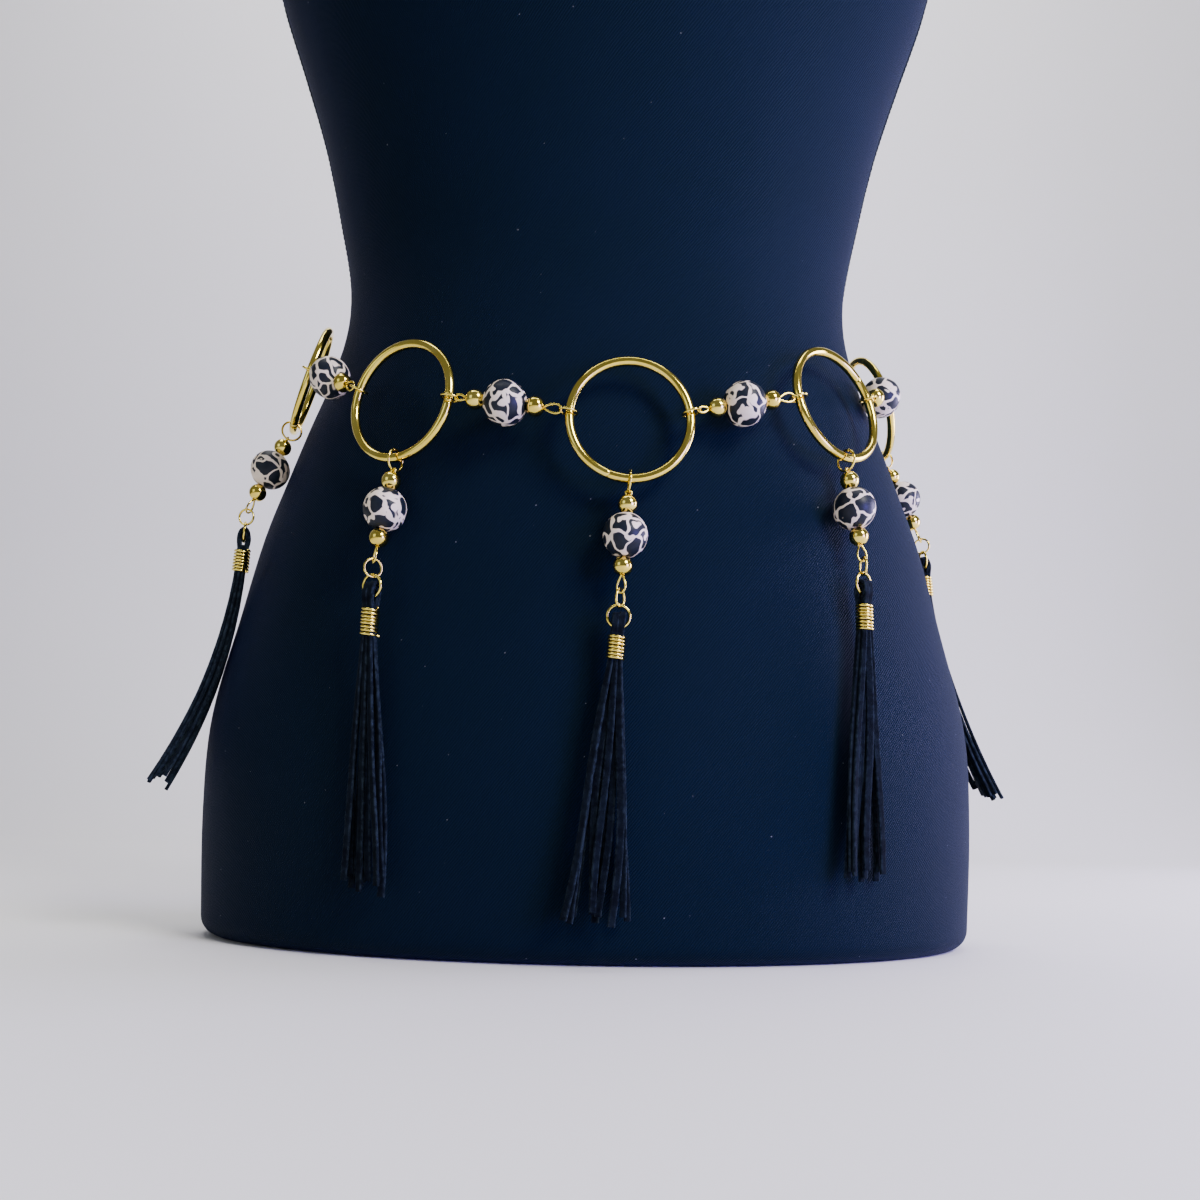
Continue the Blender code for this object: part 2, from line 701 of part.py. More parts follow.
def pin_lean(place, sway):
    """The smallest lean at which a drop's beads clear the form."""
    across, outward = drop_axes(place)
    middle = drop_bead_height()
    beads = (
        (middle, BEAD_RADIUS),
        (middle + BEAD_PITCH, GOLD_BEAD_RADIUS),
        (middle - BEAD_PITCH, GOLD_BEAD_RADIUS),
    )

    def clear(lean):
        frame = leaning(across, outward, lean, sway, place.bottom_wire)
        return all(form_gap(frame @ Vector((0, 0, height))) - radius > CLEARANCE for height, radius in beads)

    return smallest(clear, 0.0, GREATEST_LEAN)


def lower_lean(place, sway, eye_point, tassel, wrap, links):
    """The smallest lean at which the links and the tassel below the eye clear the form."""
    across, outward = drop_axes(place)
    shapes = [
        (tassel, Matrix.Translation((0, 0, tassel_ring_height() - TASSEL_RING_RADIUS))),
        (wrap, Matrix.Translation((0, 0, tassel_ring_height() - TASSEL_RING_RADIUS))),
        (links, Matrix.Identity(4)),
    ]

    def clear(lean):
        frame = leaning(across, outward, lean, sway, eye_point)
        for mesh, shift in shapes:
            spot = frame @ shift
            if any(form_gap(spot @ vertex.co) < CLEARANCE for vertex in mesh.vertices):
                return False
        return True

    return smallest(clear, 0.0, GREATEST_LEAN)


def add_piece(name, mesh, surface, matrix, parent=None):
    """Put a piece in the scene at a world matrix, under its hinge's empty if it has one."""
    mesh.materials.clear()
    mesh.materials.append(surface)
    mesh.shade_smooth()
    mesh.set_sharp_from_angle(angle=SHARP_ANGLE)
    piece = bpy.data.objects.new(name, mesh)
    bpy.context.scene.collection.objects.link(piece)
    if parent is None:
        piece.matrix_basis = matrix
    else:
        piece.parent = parent
        piece.matrix_basis = parent.matrix_basis.inverted() @ matrix
    return piece


def build_form(twill):
    add_piece("form", form_mesh(), twill, Matrix.Identity(4))


def build_chain(places, gold, wood):
    ring = closed_wire(round_path(RING_RADIUS, RING_STEPS), Vector((0, 1, 0)),
                       RING_WIRE_RADIUS, RING_WIRE_RADIUS, RING_SIDES)
    bead = leopard_bead_mesh()
    link_pin = link_pin_mesh(True)
    for number, place in places.items():
        add_piece(f"ring_{number}", ring, gold, place.matrix())
    frames = link_matrices(places)
    for number in range(1, RING_COUNT):
        add_piece(f"link_pin_{number}", link_pin, gold, frames[number - 1])
        add_piece(f"link_bead_{number}", bead, wood, frames[number - 1])
    build_closing_link(frames[-1], places[1].left_wire, bead, gold, wood)


def build_closing_link(frame, ring_wire, bead, gold, wood):
    """The last link, which hooks the clasp on the first ring."""
    add_piece(f"link_pin_{RING_COUNT}", link_pin_mesh(False), gold, frame)
    add_piece(f"link_bead_{RING_COUNT}", bead, wood, frame)
    eye_point = frame @ Vector((0, 0, PIN_END - EYE_SINK + LONG_EYE))
    reach = (ring_wire - eye_point).normalized()
    across = frame.col[0].to_3d()
    across = (across - reach * across.dot(reach)).normalized()
    add_piece("clasp", clasp_mesh(), gold, axes_matrix(across, reach.cross(across) * -1, -reach, eye_point))


def build_drop(place, settings, templates, gold, wood, suede):
    number, sway, head_top, wrap_length, half_spread, drift, flare, seed = settings
    pin, bead, links = templates
    sway = math.radians(sway)
    across, outward = drop_axes(place)
    hinge = bpy.data.objects.new(f"drop_hinge_{number}", None)
    bpy.context.scene.collection.objects.link(hinge)
    hinge.matrix_basis = axes_matrix(across, UP.cross(across), UP, place.bottom_wire)
    upper = leaning(across, outward, pin_lean(place, sway), sway, place.bottom_wire)
    add_piece(f"drop_pin_{number}", pin, gold, upper, hinge)
    bead_frame = upper @ Matrix.Translation((0, 0, drop_bead_height()))
    add_piece(f"drop_bead_{number}", bead, wood, bead_frame, hinge)
    eye_point = upper @ Vector((0, 0, lower_eye_wire()))
    tassel = tassel_mesh(head_top, wrap_length, half_spread, drift, flare, seed)
    wrap = wrap_mesh(head_top, wrap_length)
    lean = lower_lean(place, sway, eye_point, tassel, wrap, links)
    lower = leaning(across, outward, lean, sway, eye_point)
    add_piece(f"drop_links_{number}", links, gold, lower, hinge)
    fold_frame = lower @ Matrix.Translation((0, 0, tassel_ring_height() - TASSEL_RING_RADIUS))
    add_piece(f"tassel_{number}", tassel, suede, fold_frame, hinge)
    add_piece(f"wrap_{number}", wrap, gold, fold_frame, hinge)


def main():
    clear_scene()
    gold = material("gold", GOLD, GOLD_ROUGHNESS, 1.0)
    wood = material("printed_wood", CREAM, WOOD_ROUGHNESS, 0.0)
    suede = material("black_suede", SUEDE_BLACK, SUEDE_ROUGHNESS, 0.0)
    twill = material("black_twill", TWILL_BLACK, TWILL_ROUGHNESS, 0.0)
    build_form(twill)
    places = seated_places()
    build_chain(places, gold, wood)
    templates = (drop_pin_mesh(), leopard_bead_mesh(), drop_links_mesh())
    for settings in DROPS:
        build_drop(places[settings[0]], settings, templates, gold, wood, suede)


main()
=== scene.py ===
"""The looks of a beaded belt worn on a dress form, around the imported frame.

Metres, +Z up, the front along -Y. The places of rings, links and drops are worked out as in the solids.
"""
import math
import random

import bpy
import bmesh
from mathutils import Matrix, Vector

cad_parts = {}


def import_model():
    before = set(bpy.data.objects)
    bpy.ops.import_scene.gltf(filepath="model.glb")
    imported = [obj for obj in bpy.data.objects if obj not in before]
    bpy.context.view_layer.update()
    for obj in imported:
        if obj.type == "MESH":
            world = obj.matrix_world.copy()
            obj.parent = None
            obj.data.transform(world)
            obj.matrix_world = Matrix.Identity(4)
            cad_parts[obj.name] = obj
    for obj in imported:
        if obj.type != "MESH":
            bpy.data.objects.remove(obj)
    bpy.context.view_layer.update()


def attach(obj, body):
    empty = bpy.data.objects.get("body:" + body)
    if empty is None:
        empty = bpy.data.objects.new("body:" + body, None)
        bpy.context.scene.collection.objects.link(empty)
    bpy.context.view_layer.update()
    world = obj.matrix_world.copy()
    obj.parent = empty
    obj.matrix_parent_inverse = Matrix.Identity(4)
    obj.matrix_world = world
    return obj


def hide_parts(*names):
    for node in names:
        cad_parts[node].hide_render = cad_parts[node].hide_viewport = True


# Camera
LENS = 34.65
SENSOR = 36.0
CAMERA_PLACE = (0.0045, -0.571, 0.068)
CAMERA_ROLL = math.radians(1.2)
SHIFT_X = 0.0035
SHIFT_Y = 0.16667

# Dress form
FORM_ROWS = (
    # height, half width, front depth, back depth
    (0.000, 0.1865, 0.105, 0.119),
    (0.060, 0.1865, 0.108, 0.124),
    (0.104, 0.1830, 0.107, 0.122),
    (0.152, 0.1700, 0.104, 0.117),
    (0.190, 0.1590, 0.102, 0.116),
    (0.217, 0.1485, 0.100, 0.112),
    (0.242, 0.1385, 0.097, 0.108),
    (0.262, 0.1300, 0.094, 0.105),
    (0.290, 0.1215, 0.091, 0.101),
    (0.315, 0.1205, 0.090, 0.098),
    (0.350, 0.1265, 0.093, 0.097),
    (0.386, 0.1345, 0.100, 0.098),
    (0.420, 0.1450, 0.109, 0.100),
    (0.457, 0.1570, 0.120, 0.102),
    (0.500, 0.1660, 0.125, 0.104),
    (0.550, 0.1710, 0.113, 0.105),
    (0.600, 0.1740, 0.098, 0.105),
    (0.640, 0.1720, 0.086, 0.099),
    (0.672, 0.1560, 0.075, 0.089),
    (0.698, 0.1180, 0.066, 0.077),
    (0.718, 0.0820, 0.060, 0.067),
    (0.745, 0.0600, 0.055, 0.060),
    (0.790, 0.0560, 0.053, 0.057),
)
FORM_SQUARENESS = 1.95
FORM_SIDES = 180
FORM_LOOPS = 120
FORM_EDGE_RADIUS = 0.009
FORM_EDGE_STEPS = 8
CLEARANCE = 0.0003
SEAM_TURN = math.radians(90.0)
SEAM_BOTTOM = 0.012
SEAM_TOP = 0.770
SEAM_YARN_RADIUS = 0.00055
SEAM_TWIST_LENGTH = 0.0052
SEAM_STEP = 0.0009
SEAM_SIDES = 6
# In radii of the yarn
SEAM_HALF_DEPTH = 0.45
SEAM_STAND_OFF = 0.35
SEAM_HALF_WIDTH = 0.8

# Belt line
BELT_ROWS = (
    # turn round the form in degrees, height of the chain
    (-180.0, 0.2840),
    (-127.0, 0.2770),
    (-77.0, 0.2610),
    (-32.0, 0.2305),
    (6.0, 0.2199),
    (45.0, 0.2376),
    (92.0, 0.2620),
    (140.0, 0.2780),
    (180.0, 0.2840),
)
CENTRE_RING_TURN = math.radians(6.0)
RING_COUNT = 8
CENTRE_RING = 5
RING_DIAMETER = 0.0528
RING_WIRE_RADIUS = 0.0019
ATTACH_TURN = math.radians(7.0)
RING_LEANS = {
    # ring: turn about the upright and tilt towards the form in degrees, against the form's surface
    4: (-3.5, 4.0),
    6: (3.0, 0.0),
}
RING_JOINTS = {3: 165.0, 4: 100.0, 5: 200.0, 6: 48.0, 7: 150.0}
HIDDEN_RING_JOINT = 200.0
RING_CUT = 0.00005
RING_STEPS = 140
RING_SIDES = 24

# Beads
BEAD_RADIUS = 0.009
BEAD_END = 0.0086
BORE_RADIUS = 0.0009
BEAD_LIP = 0.0004
BEAD_ROWS = 41
BEAD_SIDES = 72
LINK_BEAD_SEED = 40
DROP_BEAD_SEED = 70
GOLD_BEAD_RADIUS = 0.004
GOLD_BEAD_END = 0.0036
GOLD_BEAD_BORE = 0.0007
GOLD_BEAD_LIP = 0.0003
GOLD_BEAD_ROWS = 17
GOLD_BEAD_SIDES = 36
PIN_RADIUS = 0.00054
PIN_SIDES = 12

# Jump rings, eyes and links
LINK_JUMP_RADIUS = 0.0037
DROP_JUMP_RADIUS = 0.0044
JUMP_WIRE_RADIUS = 0.0005
JUMP_LEAN = math.radians(28.0)
JUMP_PLAY = 0.0006
JUMP_CUT = 0.00006
JUMP_STEPS = 40
WIRE_SIDES = 10
LINK_START_JOINT = math.radians(215.0)
LINK_END_JOINT = math.radians(120.0)
DROP_JOINT = math.radians(35.0)
EYE_WIRE_RADIUS = 0.00045
EYE_HALF_WIDTH = 0.0019
SMALL_EYE_HALF_WIDTH = 0.0012
EYE_FULLNESS = 1.3
LONG_EYE = 0.0075
SHORT_EYE = 0.0050
DROP_EYE = 0.0022
EYE_SINK = 0.0003
EYE_ROOT = 0.0006
EYE_STEPS = 30
JOIN_DEPTH = 0.00015
LINK_PLAY = 0.0006
LOWER_EYE_TWIST = math.radians(-35.0)
HANGING_RING_TWIST = math.radians(60.0)
HANGING_RING_RADIUS = 0.0037
HANGING_RING_WIRE_RADIUS = 0.0005
HANGING_RING_JOINT = 2.185
HANGING_RING_CUT = 0.015
HANGING_RING_STEPS = 44
TASSEL_RING_RADIUS = 0.0045
TASSEL_RING_WIRE_RADIUS = 0.0006
TASSEL_RING_CUT = 0.013
TASSEL_RING_STEPS = 56
TASSEL_RING_SIDES = 12
RING_BLUNT = 0.1

# Clasp
CLASP_LENGTH = 0.0125
CLASP_HALF_WIDTH = 0.0040
CLASP_TAIL_LENGTH = 0.0030
CLASP_TAIL_HALF_WIDTH = 0.0016
CLASP_TAIL_STEPS = 24
CLASP_STEPS = 64
CLASP_HOOK_POINTS = 46
CLASP_GATE_START = 44
CLASP_LEVER_POINT = 57
CLASP_THICK = 0.00118
CLASP_TAPER = 0.00045
GATE_THIN = 0.00062
GATE_SWELL = 0.000015
HOOK_SIDES = 14
GATE_SIDES = 12
CLASP_LEVER = (
    # aside, up, wire radius
    (0.0, 0.0004, 0.0006),
    (-0.0009, 0.0001, 0.0005),
    (-0.0016, -0.0006, 0.00045),
)

# Tassels
LACE_WIDTH = 0.0030
LACE_THICKNESS = 0.0013
LACE_CORNER = 0.22
LACE_FLAT = 0.45
LACE_STEPS = 36
LACE_ROOT_TURN = math.radians(26.0)
LACE_ROOT_WIDTH = 0.72
ROOT_HALF_WIDTH = 0.0021
ROOT_HALF_DEPTH = 0.0015
END_HALF_DEPTH = 0.0021
BOW = 0.0012
FAN = 1.12
HEAD_RADIUS = 0.0027
HEAD_SIDES = 28
WRAP_WIRE_RADIUS = 0.00056
WRAP_PITCH = 0.00136
WRAP_STEPS = 28
WRAP_SIDES = 8
WRAP_SLIDE = 0.00017
WRAP_BULGES = (-0.00012, 0.00014)
WRAP_TAIL_STEP = 0.00028
WRAP_TAIL_LIFT = 0.00016
WRAP_SEED = 90
STRAND_LENGTH = 0.1060
LENGTH_SPREAD = 0.007
LAYERS = (
    # depth, laces
    (1.0, 3),
    (0.0, 4),
    (-1.0, 3),
)
FOLD_LACES = (
    # across, top, depth, width, lean
    (-0.00130, 0.0059, 0.00245, 0.00275, 0.00035),
    (0.00130, 0.0055, 0.00255, 0.00275, 0.00030),
    (-0.00120, 0.0038, 0.00140, 0.0023, 0.0),
    (0.00120, 0.0038, 0.00140, 0.0023, 0.0),
)
FOLD_WIRE_TOP = 0.0013
FOLD_BELOW = 0.002
FOLD_SIDE = 0.0055
FOLD_SIDE_STEPS = 8
FOLD_TOP_STEPS = 16

DROPS = (
    # ring, sway in degrees, head top below the ring, wrap length, then of the laces' ends: half spread,
    # drift, flare and random seed, and the lean below the eye in degrees
    (3, 0.0, 0.0030, 0.0115, 0.014, 0.003, 0.022, 3, 5.2085),
    (4, -3.4, 0.0034, 0.0126, 0.012, -0.007, 0.0, 5, 0.0),
    (5, -3.7, 0.0022, 0.0106, 0.015, 0.0, 0.0, 8, 0.0),
    (6, 1.7, 0.0034, 0.0121, 0.013, 0.005, 0.0, 11, 1.9354),
    (7, 0.0, 0.0028, 0.0110, 0.012, 0.004, 0.019, 14, 6.6474),
)

RING_RADIUS = RING_DIAMETER / 2 - RING_WIRE_RADIUS
RING_TO_JUMP_WIRE = RING_WIRE_RADIUS + JUMP_PLAY + JUMP_WIRE_RADIUS
LINK_JUMP_OFFSET = LINK_JUMP_RADIUS - RING_TO_JUMP_WIRE
DROP_JUMP_OFFSET = DROP_JUMP_RADIUS - RING_TO_JUMP_WIRE
JUMP_TO_EYE_WIRE = JUMP_WIRE_RADIUS + EYE_WIRE_RADIUS - JOIN_DEPTH
LINK_EYE_START = LINK_JUMP_OFFSET + LINK_JUMP_RADIUS - JUMP_TO_EYE_WIRE
DROP_EYE_START = DROP_JUMP_OFFSET + DROP_JUMP_RADIUS - JUMP_TO_EYE_WIRE
BEAD_PITCH = BEAD_END + CLEARANCE + GOLD_BEAD_END
PIN_END = BEAD_PITCH + GOLD_BEAD_END
LINK_RISE = LINK_EYE_START * math.sin(JUMP_LEAN)
LINK_START_REACH = LINK_EYE_START * math.cos(JUMP_LEAN) + SHORT_EYE - EYE_SINK + PIN_END
LINK_END_REACH = LINK_EYE_START * math.cos(JUMP_LEAN) + LONG_EYE - EYE_SINK + PIN_END
LINK_LENGTH = LINK_START_REACH + LINK_END_REACH
DROP_BEAD_HEIGHT = -(DROP_EYE_START + DROP_EYE - EYE_SINK + PIN_END)
LOWER_EYE_HEIGHT = DROP_BEAD_HEIGHT - PIN_END + EYE_SINK - LONG_EYE
HANGING_RING_MIDDLE = EYE_WIRE_RADIUS + LINK_PLAY + HANGING_RING_WIRE_RADIUS - HANGING_RING_RADIUS
HANGING_RING_LOWEST = HANGING_RING_MIDDLE - HANGING_RING_RADIUS
TASSEL_RING_TOP = HANGING_RING_LOWEST + HANGING_RING_WIRE_RADIUS + TASSEL_RING_WIRE_RADIUS - JOIN_DEPTH
UP = Vector((0.0, 0.0, 1.0))
QUARTER_TURN = Matrix.Rotation(math.pi / 2, 4, "Z")

# Colours, from and to, and patterns
GOLD_COLOURS = ((0.84, 0.64, 0.09, 1), (0.92, 0.74, 0.15, 1))
CREAM_COLOURS = ((0.76, 0.63, 0.47, 1), (0.90, 0.79, 0.64, 1))
PRINT_COLOURS = ((0.003, 0.005, 0.009, 1), (0.009, 0.014, 0.022, 1))
SUEDE_COLOURS = ((0.0009, 0.0016, 0.0036, 1), (0.0026, 0.0048, 0.0085, 1))
WORN_COLOURS = ((0.006, 0.011, 0.019, 1), (0.036, 0.054, 0.074, 1))
TWILL_COLOURS = ((0.0008, 0.0036, 0.0068, 1), (0.0012, 0.0040, 0.0095, 1))
THREAD_COLOUR = (0.0036, 0.0100, 0.0210, 1)
SPECK_COLOUR = (0.45, 0.47, 0.52, 1)
CORD_COLOURS = ((0.002, 0.005, 0.008, 1), (0.008, 0.014, 0.021, 1))
MIDDLE_GREY = (0.5, 0.5, 0.5)
PRINT_SCALE = 128.0
PRINT_WOBBLE = 0.0076
PRINT_WEB = (0.062, 0.088)
PRINT_PLAIN_SHARE = 0.40
TWILL_RIB_PITCH = 0.0010
TWILL_YARN_PITCH = 0.00055

# Searches for the places
SLOPE_STEP = 0.0005
TURN_STEP = 0.001
SEARCH_STEPS = 30
NEXT_RING_NEAR = 0.3
NEXT_RING_FAR = 1.3
STAND_OFFS = (0.003, 0.016)
PIN_LEANS = (0.0, 1.2)

# Studio
FLOOR_COLOUR = (0.80, 0.79, 0.78)
FLOOR_ROUGHNESS = 0.7
FLOOR_HALF_WIDTH = 2.6
FLOOR_FRONT = -2.2
FLOOR_BACK = 0.9
FLOOR_BEND = 0.6
FLOOR_BEND_STEPS = 12
BACKDROP_TOP = 2.6
LIGHTS = (
    # name, place, target, size, power, colour
    ("key", (0.95, -1.0, 1.15), (0.0, 0.0, 0.22), 0.55, 33.0, (1.0, 0.97, 0.93)),
    ("fill", (-1.3, -1.3, 0.7), (0.0, 0.0, 0.25), 0.9, 3.6, (0.82, 0.89, 1.0)),
    ("side", (1.3, 0.25, 0.35), (0.1, 0.0, 0.15), 0.6, 28.0, (0.64, 0.56, 1.0)),
    ("glow", (0.95, -0.75, 0.22), (0.12, -0.08, 0.08), 0.4, 16.0, (0.25, 0.20, 1.0)),
    ("backdrop", (0.0, 0.35, 2.2), (0.0, 1.3, 0.3), 1.6, 46.0, (1.0, 0.99, 0.98)),
)
WORLD_COLOUR = (0.90, 0.93, 1.0, 1.0)
WORLD_STRENGTH = 0.20


# Places, worked out as in the solids

def smooth_row(rows, key):
    """The later columns at a value of the first one, on a smooth curve through the rows."""
    key = min(max(key, rows[0][0]), rows[-1][0])
    index = 0
    while index < len(rows) - 2 and key > rows[index + 1][0]:
        index += 1
    span = rows[index + 1][0] - rows[index][0]
    t = (key - rows[index][0]) / span
    before = rows[max(index - 1, 0)]
    after = rows[min(index + 2, len(rows) - 1)]
    values = []
    for column in range(1, len(rows[0])):
        start = rows[index][column]
        end = rows[index + 1][column]
        slope_in = (end - before[column]) / (rows[index + 1][0] - before[0]) * span
        slope_out = (after[column] - start) / (after[0] - rows[index][0]) * span
        values.append(
            start * (2 * t ** 3 - 3 * t ** 2 + 1) + slope_in * (t ** 3 - 2 * t ** 2 + t)
            + end * (3 * t ** 2 - 2 * t ** 3) + slope_out * (t ** 3 - t ** 2)
        )
    return values


def form_point(turn, height, inset=0.0):
    half_width, front, back = smooth_row(FORM_ROWS, height)
    depth = front if math.cos(turn) > 0 else back
    power = 2 / FORM_SQUARENESS
    x = (half_width - inset) * math.copysign(abs(math.sin(turn)) ** power, math.sin(turn))
    y = (depth - inset) * math.copysign(abs(math.cos(turn)) ** power, math.cos(turn))
    return Vector((x, -y, height))


def form_level(point):
    half_width, front, back = smooth_row(FORM_ROWS, point.z)
    depth = front if point.y < 0 else back
    across = abs(point.x / half_width) ** FORM_SQUARENESS
    along = abs(point.y / depth) ** FORM_SQUARENESS
    return (across + along) ** (1 / FORM_SQUARENESS)


def form_slope(point):
    steps = (Vector((SLOPE_STEP, 0, 0)), Vector((0, SLOPE_STEP, 0)), Vector((0, 0, SLOPE_STEP)))
    rises = [form_level(point + step) - form_level(point - step) for step in steps]
    return Vector(rises) / (2 * SLOPE_STEP)


def form_gap(point):
    return (form_level(point) - 1) / form_slope(point).length


def smallest(test, low, high):
    """The least value from low to high that passes a test which every larger value passes too."""
    if test(low):
        return low
    for _ in range(SEARCH_STEPS):
        middle = (low + high) / 2
        if test(middle):
            high = middle
        else:
            low = middle
    return high


def belt_height(turn):
    return smooth_row(BELT_ROWS, math.degrees(turn))[0]


def ring_centre(turn, stand_off):
    surface = form_point(turn, belt_height(turn))
    return surface + form_slope(surface).normalized() * stand_off


def axes_matrix(x_axis, y_axis, z_axis, place):
    matrix = Matrix((x_axis, y_axis, z_axis)).transposed().to_4x4()
    matrix.translation = place
    return matrix


class RingPlace:
    """Where a large ring lies: its middle, its outward normal and the directions along and down its plane."""

    def __init__(self, number, turn, stand_off):
        extra_turn, tilt = RING_LEANS.get(number, (0.0, 0.0))
        self.turn = turn
        self.centre = ring_centre(turn, stand_off)
        self.normal = form_slope(form_point(turn, belt_height(turn))).normalized()
        ahead = ring_centre(turn + TURN_STEP, stand_off) - ring_centre(turn - TURN_STEP, stand_off)
        lean = Matrix.Rotation(math.radians(tilt), 3, ahead.normalized())
        self.normal = Matrix.Rotation(math.radians(extra_turn), 3, "Z") @ lean @ self.normal
        self.along = (ahead - self.normal * ahead.dot(self.normal)).normalized()
        self.down = -(UP - self.normal * UP.dot(self.normal)).normalized()
        across = self.along * RING_RADIUS * math.cos(ATTACH_TURN)
        raised = self.normal.cross(self.along) * RING_RADIUS * math.sin(ATTACH_TURN)
        self.right_wire = self.centre + across + raised
        self.left_wire = self.centre - across + raised
        self.bottom_wire = self.centre + self.down * RING_RADIUS

    def matrix(self):
        return axes_matrix(self.normal.cross(self.down), self.normal, -self.down, self.centre)


def ring_places(stand_off):
    """The rings' places, from the centre ring to both ends of the belt, each one link from its neighbour."""
    places = {CENTRE_RING: RingPlace(CENTRE_RING, CENTRE_RING_TURN, stand_off)}
    for side, end in ((1, RING_COUNT), (-1, 1)):
        for number in range(CENTRE_RING + side, end + side, side):
            last = places[number - side]

            def far_enough(turn):
                here = RingPlace(number, side * turn, stand_off)
                left, right = (last, here) if side > 0 else (here, last)
                return (right.left_wire - left.right_wire).length > LINK_LENGTH

            start = side * last.turn
            turn = smallest(far_enough, start + NEXT_RING_NEAR, start + NEXT_RING_FAR)
            places[number] = RingPlace(number, side * turn, stand_off)
    return places


def link_matrix(start, end):
    along = (end.left_wire - start.right_wire).normalized()
    wires = start.normal.cross(start.along) + end.normal.cross(end.along)
    across = (wires - along * wires.dot(along)).normalized()
    outward = along.cross(across)
    middle = start.right_wire + along * LINK_START_REACH + outward * LINK_RISE
    return axes_matrix(across, outward, along, middle)


def link_matrices(places):
    numbers = range(1, RING_COUNT + 1)
    return [link_matrix(places[number], places[number % RING_COUNT + 1]) for number in numbers]


def seated_places():
    """The rings' places with the chain as near the form as its beads let it lie."""
    rest = BEAD_RADIUS + CLEARANCE

    def clear(stand_off):
        return all(form_gap(frame.translation) > rest for frame in link_matrices(ring_places(stand_off)))

    return ring_places(smallest(clear, *STAND_OFFS))


def drop_axes(place):
    across = place.down.cross(place.normal).normalized()
    across.z = 0.0
    across.normalize()
    outward = UP.cross(across)
    if outward.dot(place.normal) < 0:
        across = -across
        outward = -outward
    return across, outward


def leaning(across, outward, lean, sway, place):
    down = (-UP * math.cos(lean) + outward * math.sin(lean)).normalized()
    upright = axes_matrix(across, across.cross(down), -down, place)
    return upright @ Matrix.Rotation(sway, 4, "Y")


def pin_lean(place, sway):
    """How far a drop leans outwards so that its beads clear the form."""
    across, outward = drop_axes(place)
    middle = DROP_BEAD_HEIGHT
    beads = (
        (middle, BEAD_RADIUS),
        (middle + BEAD_PITCH, GOLD_BEAD_RADIUS),
        (middle - BEAD_PITCH, GOLD_BEAD_RADIUS),
    )

    def clear(lean):
        frame = leaning(across, outward, lean, sway, place.bottom_wire)
        return all(form_gap(frame @ Vector((0, 0, z))) - radius > CLEARANCE for z, radius in beads)

    return smallest(clear, *PIN_LEANS)


# Shapes

class Shape:
    """Points and faces of one piece, collected from several parts."""

    def __init__(self):
        self.points = []
        self.faces = []
        self.marks = []

    def add(self, mesh, matrix=None, marks=None):
        points, faces = mesh
        first = len(self.points)
        self.points += [matrix @ point for point in points] if matrix else points
        self.marks += marks if marks else [0.0] * len(points)
        self.faces += [tuple(first + index for index in face) for face in faces]

    def piece(self, name, surface, matrix=None, sharp=50.0):
        mesh = bpy.data.meshes.new(name)
        mesh.from_pydata([tuple(point) for point in self.points], [], self.faces)
        shape = bmesh.new()
        shape.from_mesh(mesh)
        bmesh.ops.recalc_face_normals(shape, faces=shape.faces)
        shape.to_mesh(mesh)
        shape.free()
        if any(self.marks):
            marks = mesh.attributes.new("edge", "FLOAT", "POINT")
            marks.data.foreach_set("value", self.marks)
        mesh.materials.append(surface)
        mesh.shade_smooth()
        mesh.set_sharp_from_angle(angle=math.radians(sharp))
        piece = bpy.data.objects.new(name, mesh)
        bpy.context.scene.collection.objects.link(piece)
        if matrix:
            piece.matrix_world = matrix
        return piece


def bridged(loops, closed=False):
    """The points and faces of a skin through loops, with its two ends closed where it is open."""
    count = len(loops[0])
    points = [point for loop in loops for point in loop]
    faces = []
    last = len(loops) if closed else len(loops) - 1
    for row in range(last):
        lower = row * count
        upper = (row + 1) % len(loops) * count
        for k in range(count):
            following = (k + 1) % count
            faces.append((lower + k, lower + following, upper + following, upper + k))
    if not closed:
        faces.append(tuple(reversed(range(count))))
        faces.append(tuple(range((len(loops) - 1) * count, len(loops) * count)))
    return points, faces


def turned(profile, sides, closed=False):
    """A skin turned about the Z axis from the radius and height of each row."""
    turns = [2 * math.pi * k / sides for k in range(sides)]
    loops = [[Vector((r * math.cos(a), r * math.sin(a), height)) for a in turns] for r, height in profile]
    return bridged(loops, closed)


def wire(path, radius, sides, closed=False, blunt=0.3):
    """A round wire along a path, with slightly rounded ends where it is open."""
    count = len(path)
    tangents = []
    for k in range(count):
        ahead = path[(k + 1) % count] if closed or k < count - 1 else path[k]
        behind = path[k - 1] if closed or k > 0 else path[k]
        tangents.append((ahead - behind).normalized())
    side = tangents[0].orthogonal().normalized()
    frames = []
    for tangent in tangents:
        side = (side - tangent * side.dot(tangent)).normalized()
        frames.append((side, tangent.cross(side)))
    twist = 0.0
    if closed:
        first, other = frames[0]
        carried = (side - tangents[0] * side.dot(tangents[0])).normalized()
        twist = math.atan2(carried.dot(other), carried.dot(first))
    radii = list(radius) if isinstance(radius, list) else [radius] * count
    places = list(path)
    if not closed:
        first_inset, last_inset = radii[0] * blunt, radii[-1] * blunt
        places = [places[0] - tangents[0] * first_inset, *places, places[-1] + tangents[-1] * last_inset]
        radii = [radii[0] - first_inset, *radii, radii[-1] - last_inset]
        frames = [frames[0], *frames, frames[-1]]
    loops = []
    for k, (place, (first, other), size) in enumerate(zip(places, frames, radii)):
        back = -twist * k / len(places)
        turns = [back + 2 * math.pi * n / sides for n in range(sides)]
        loops.append([place + (first * math.cos(a) + other * math.sin(a)) * size for a in turns])
    return bridged(loops, closed)


def arc(radius, start, end, steps, height=0.0):
    """Part of a circle in the XZ plane, from one turn to another. 0 is up."""
    turns = [start + (end - start) * k / steps for k in range(steps + 1)]
    return [Vector((radius * math.sin(a), 0, height + radius * math.cos(a))) for a in turns]


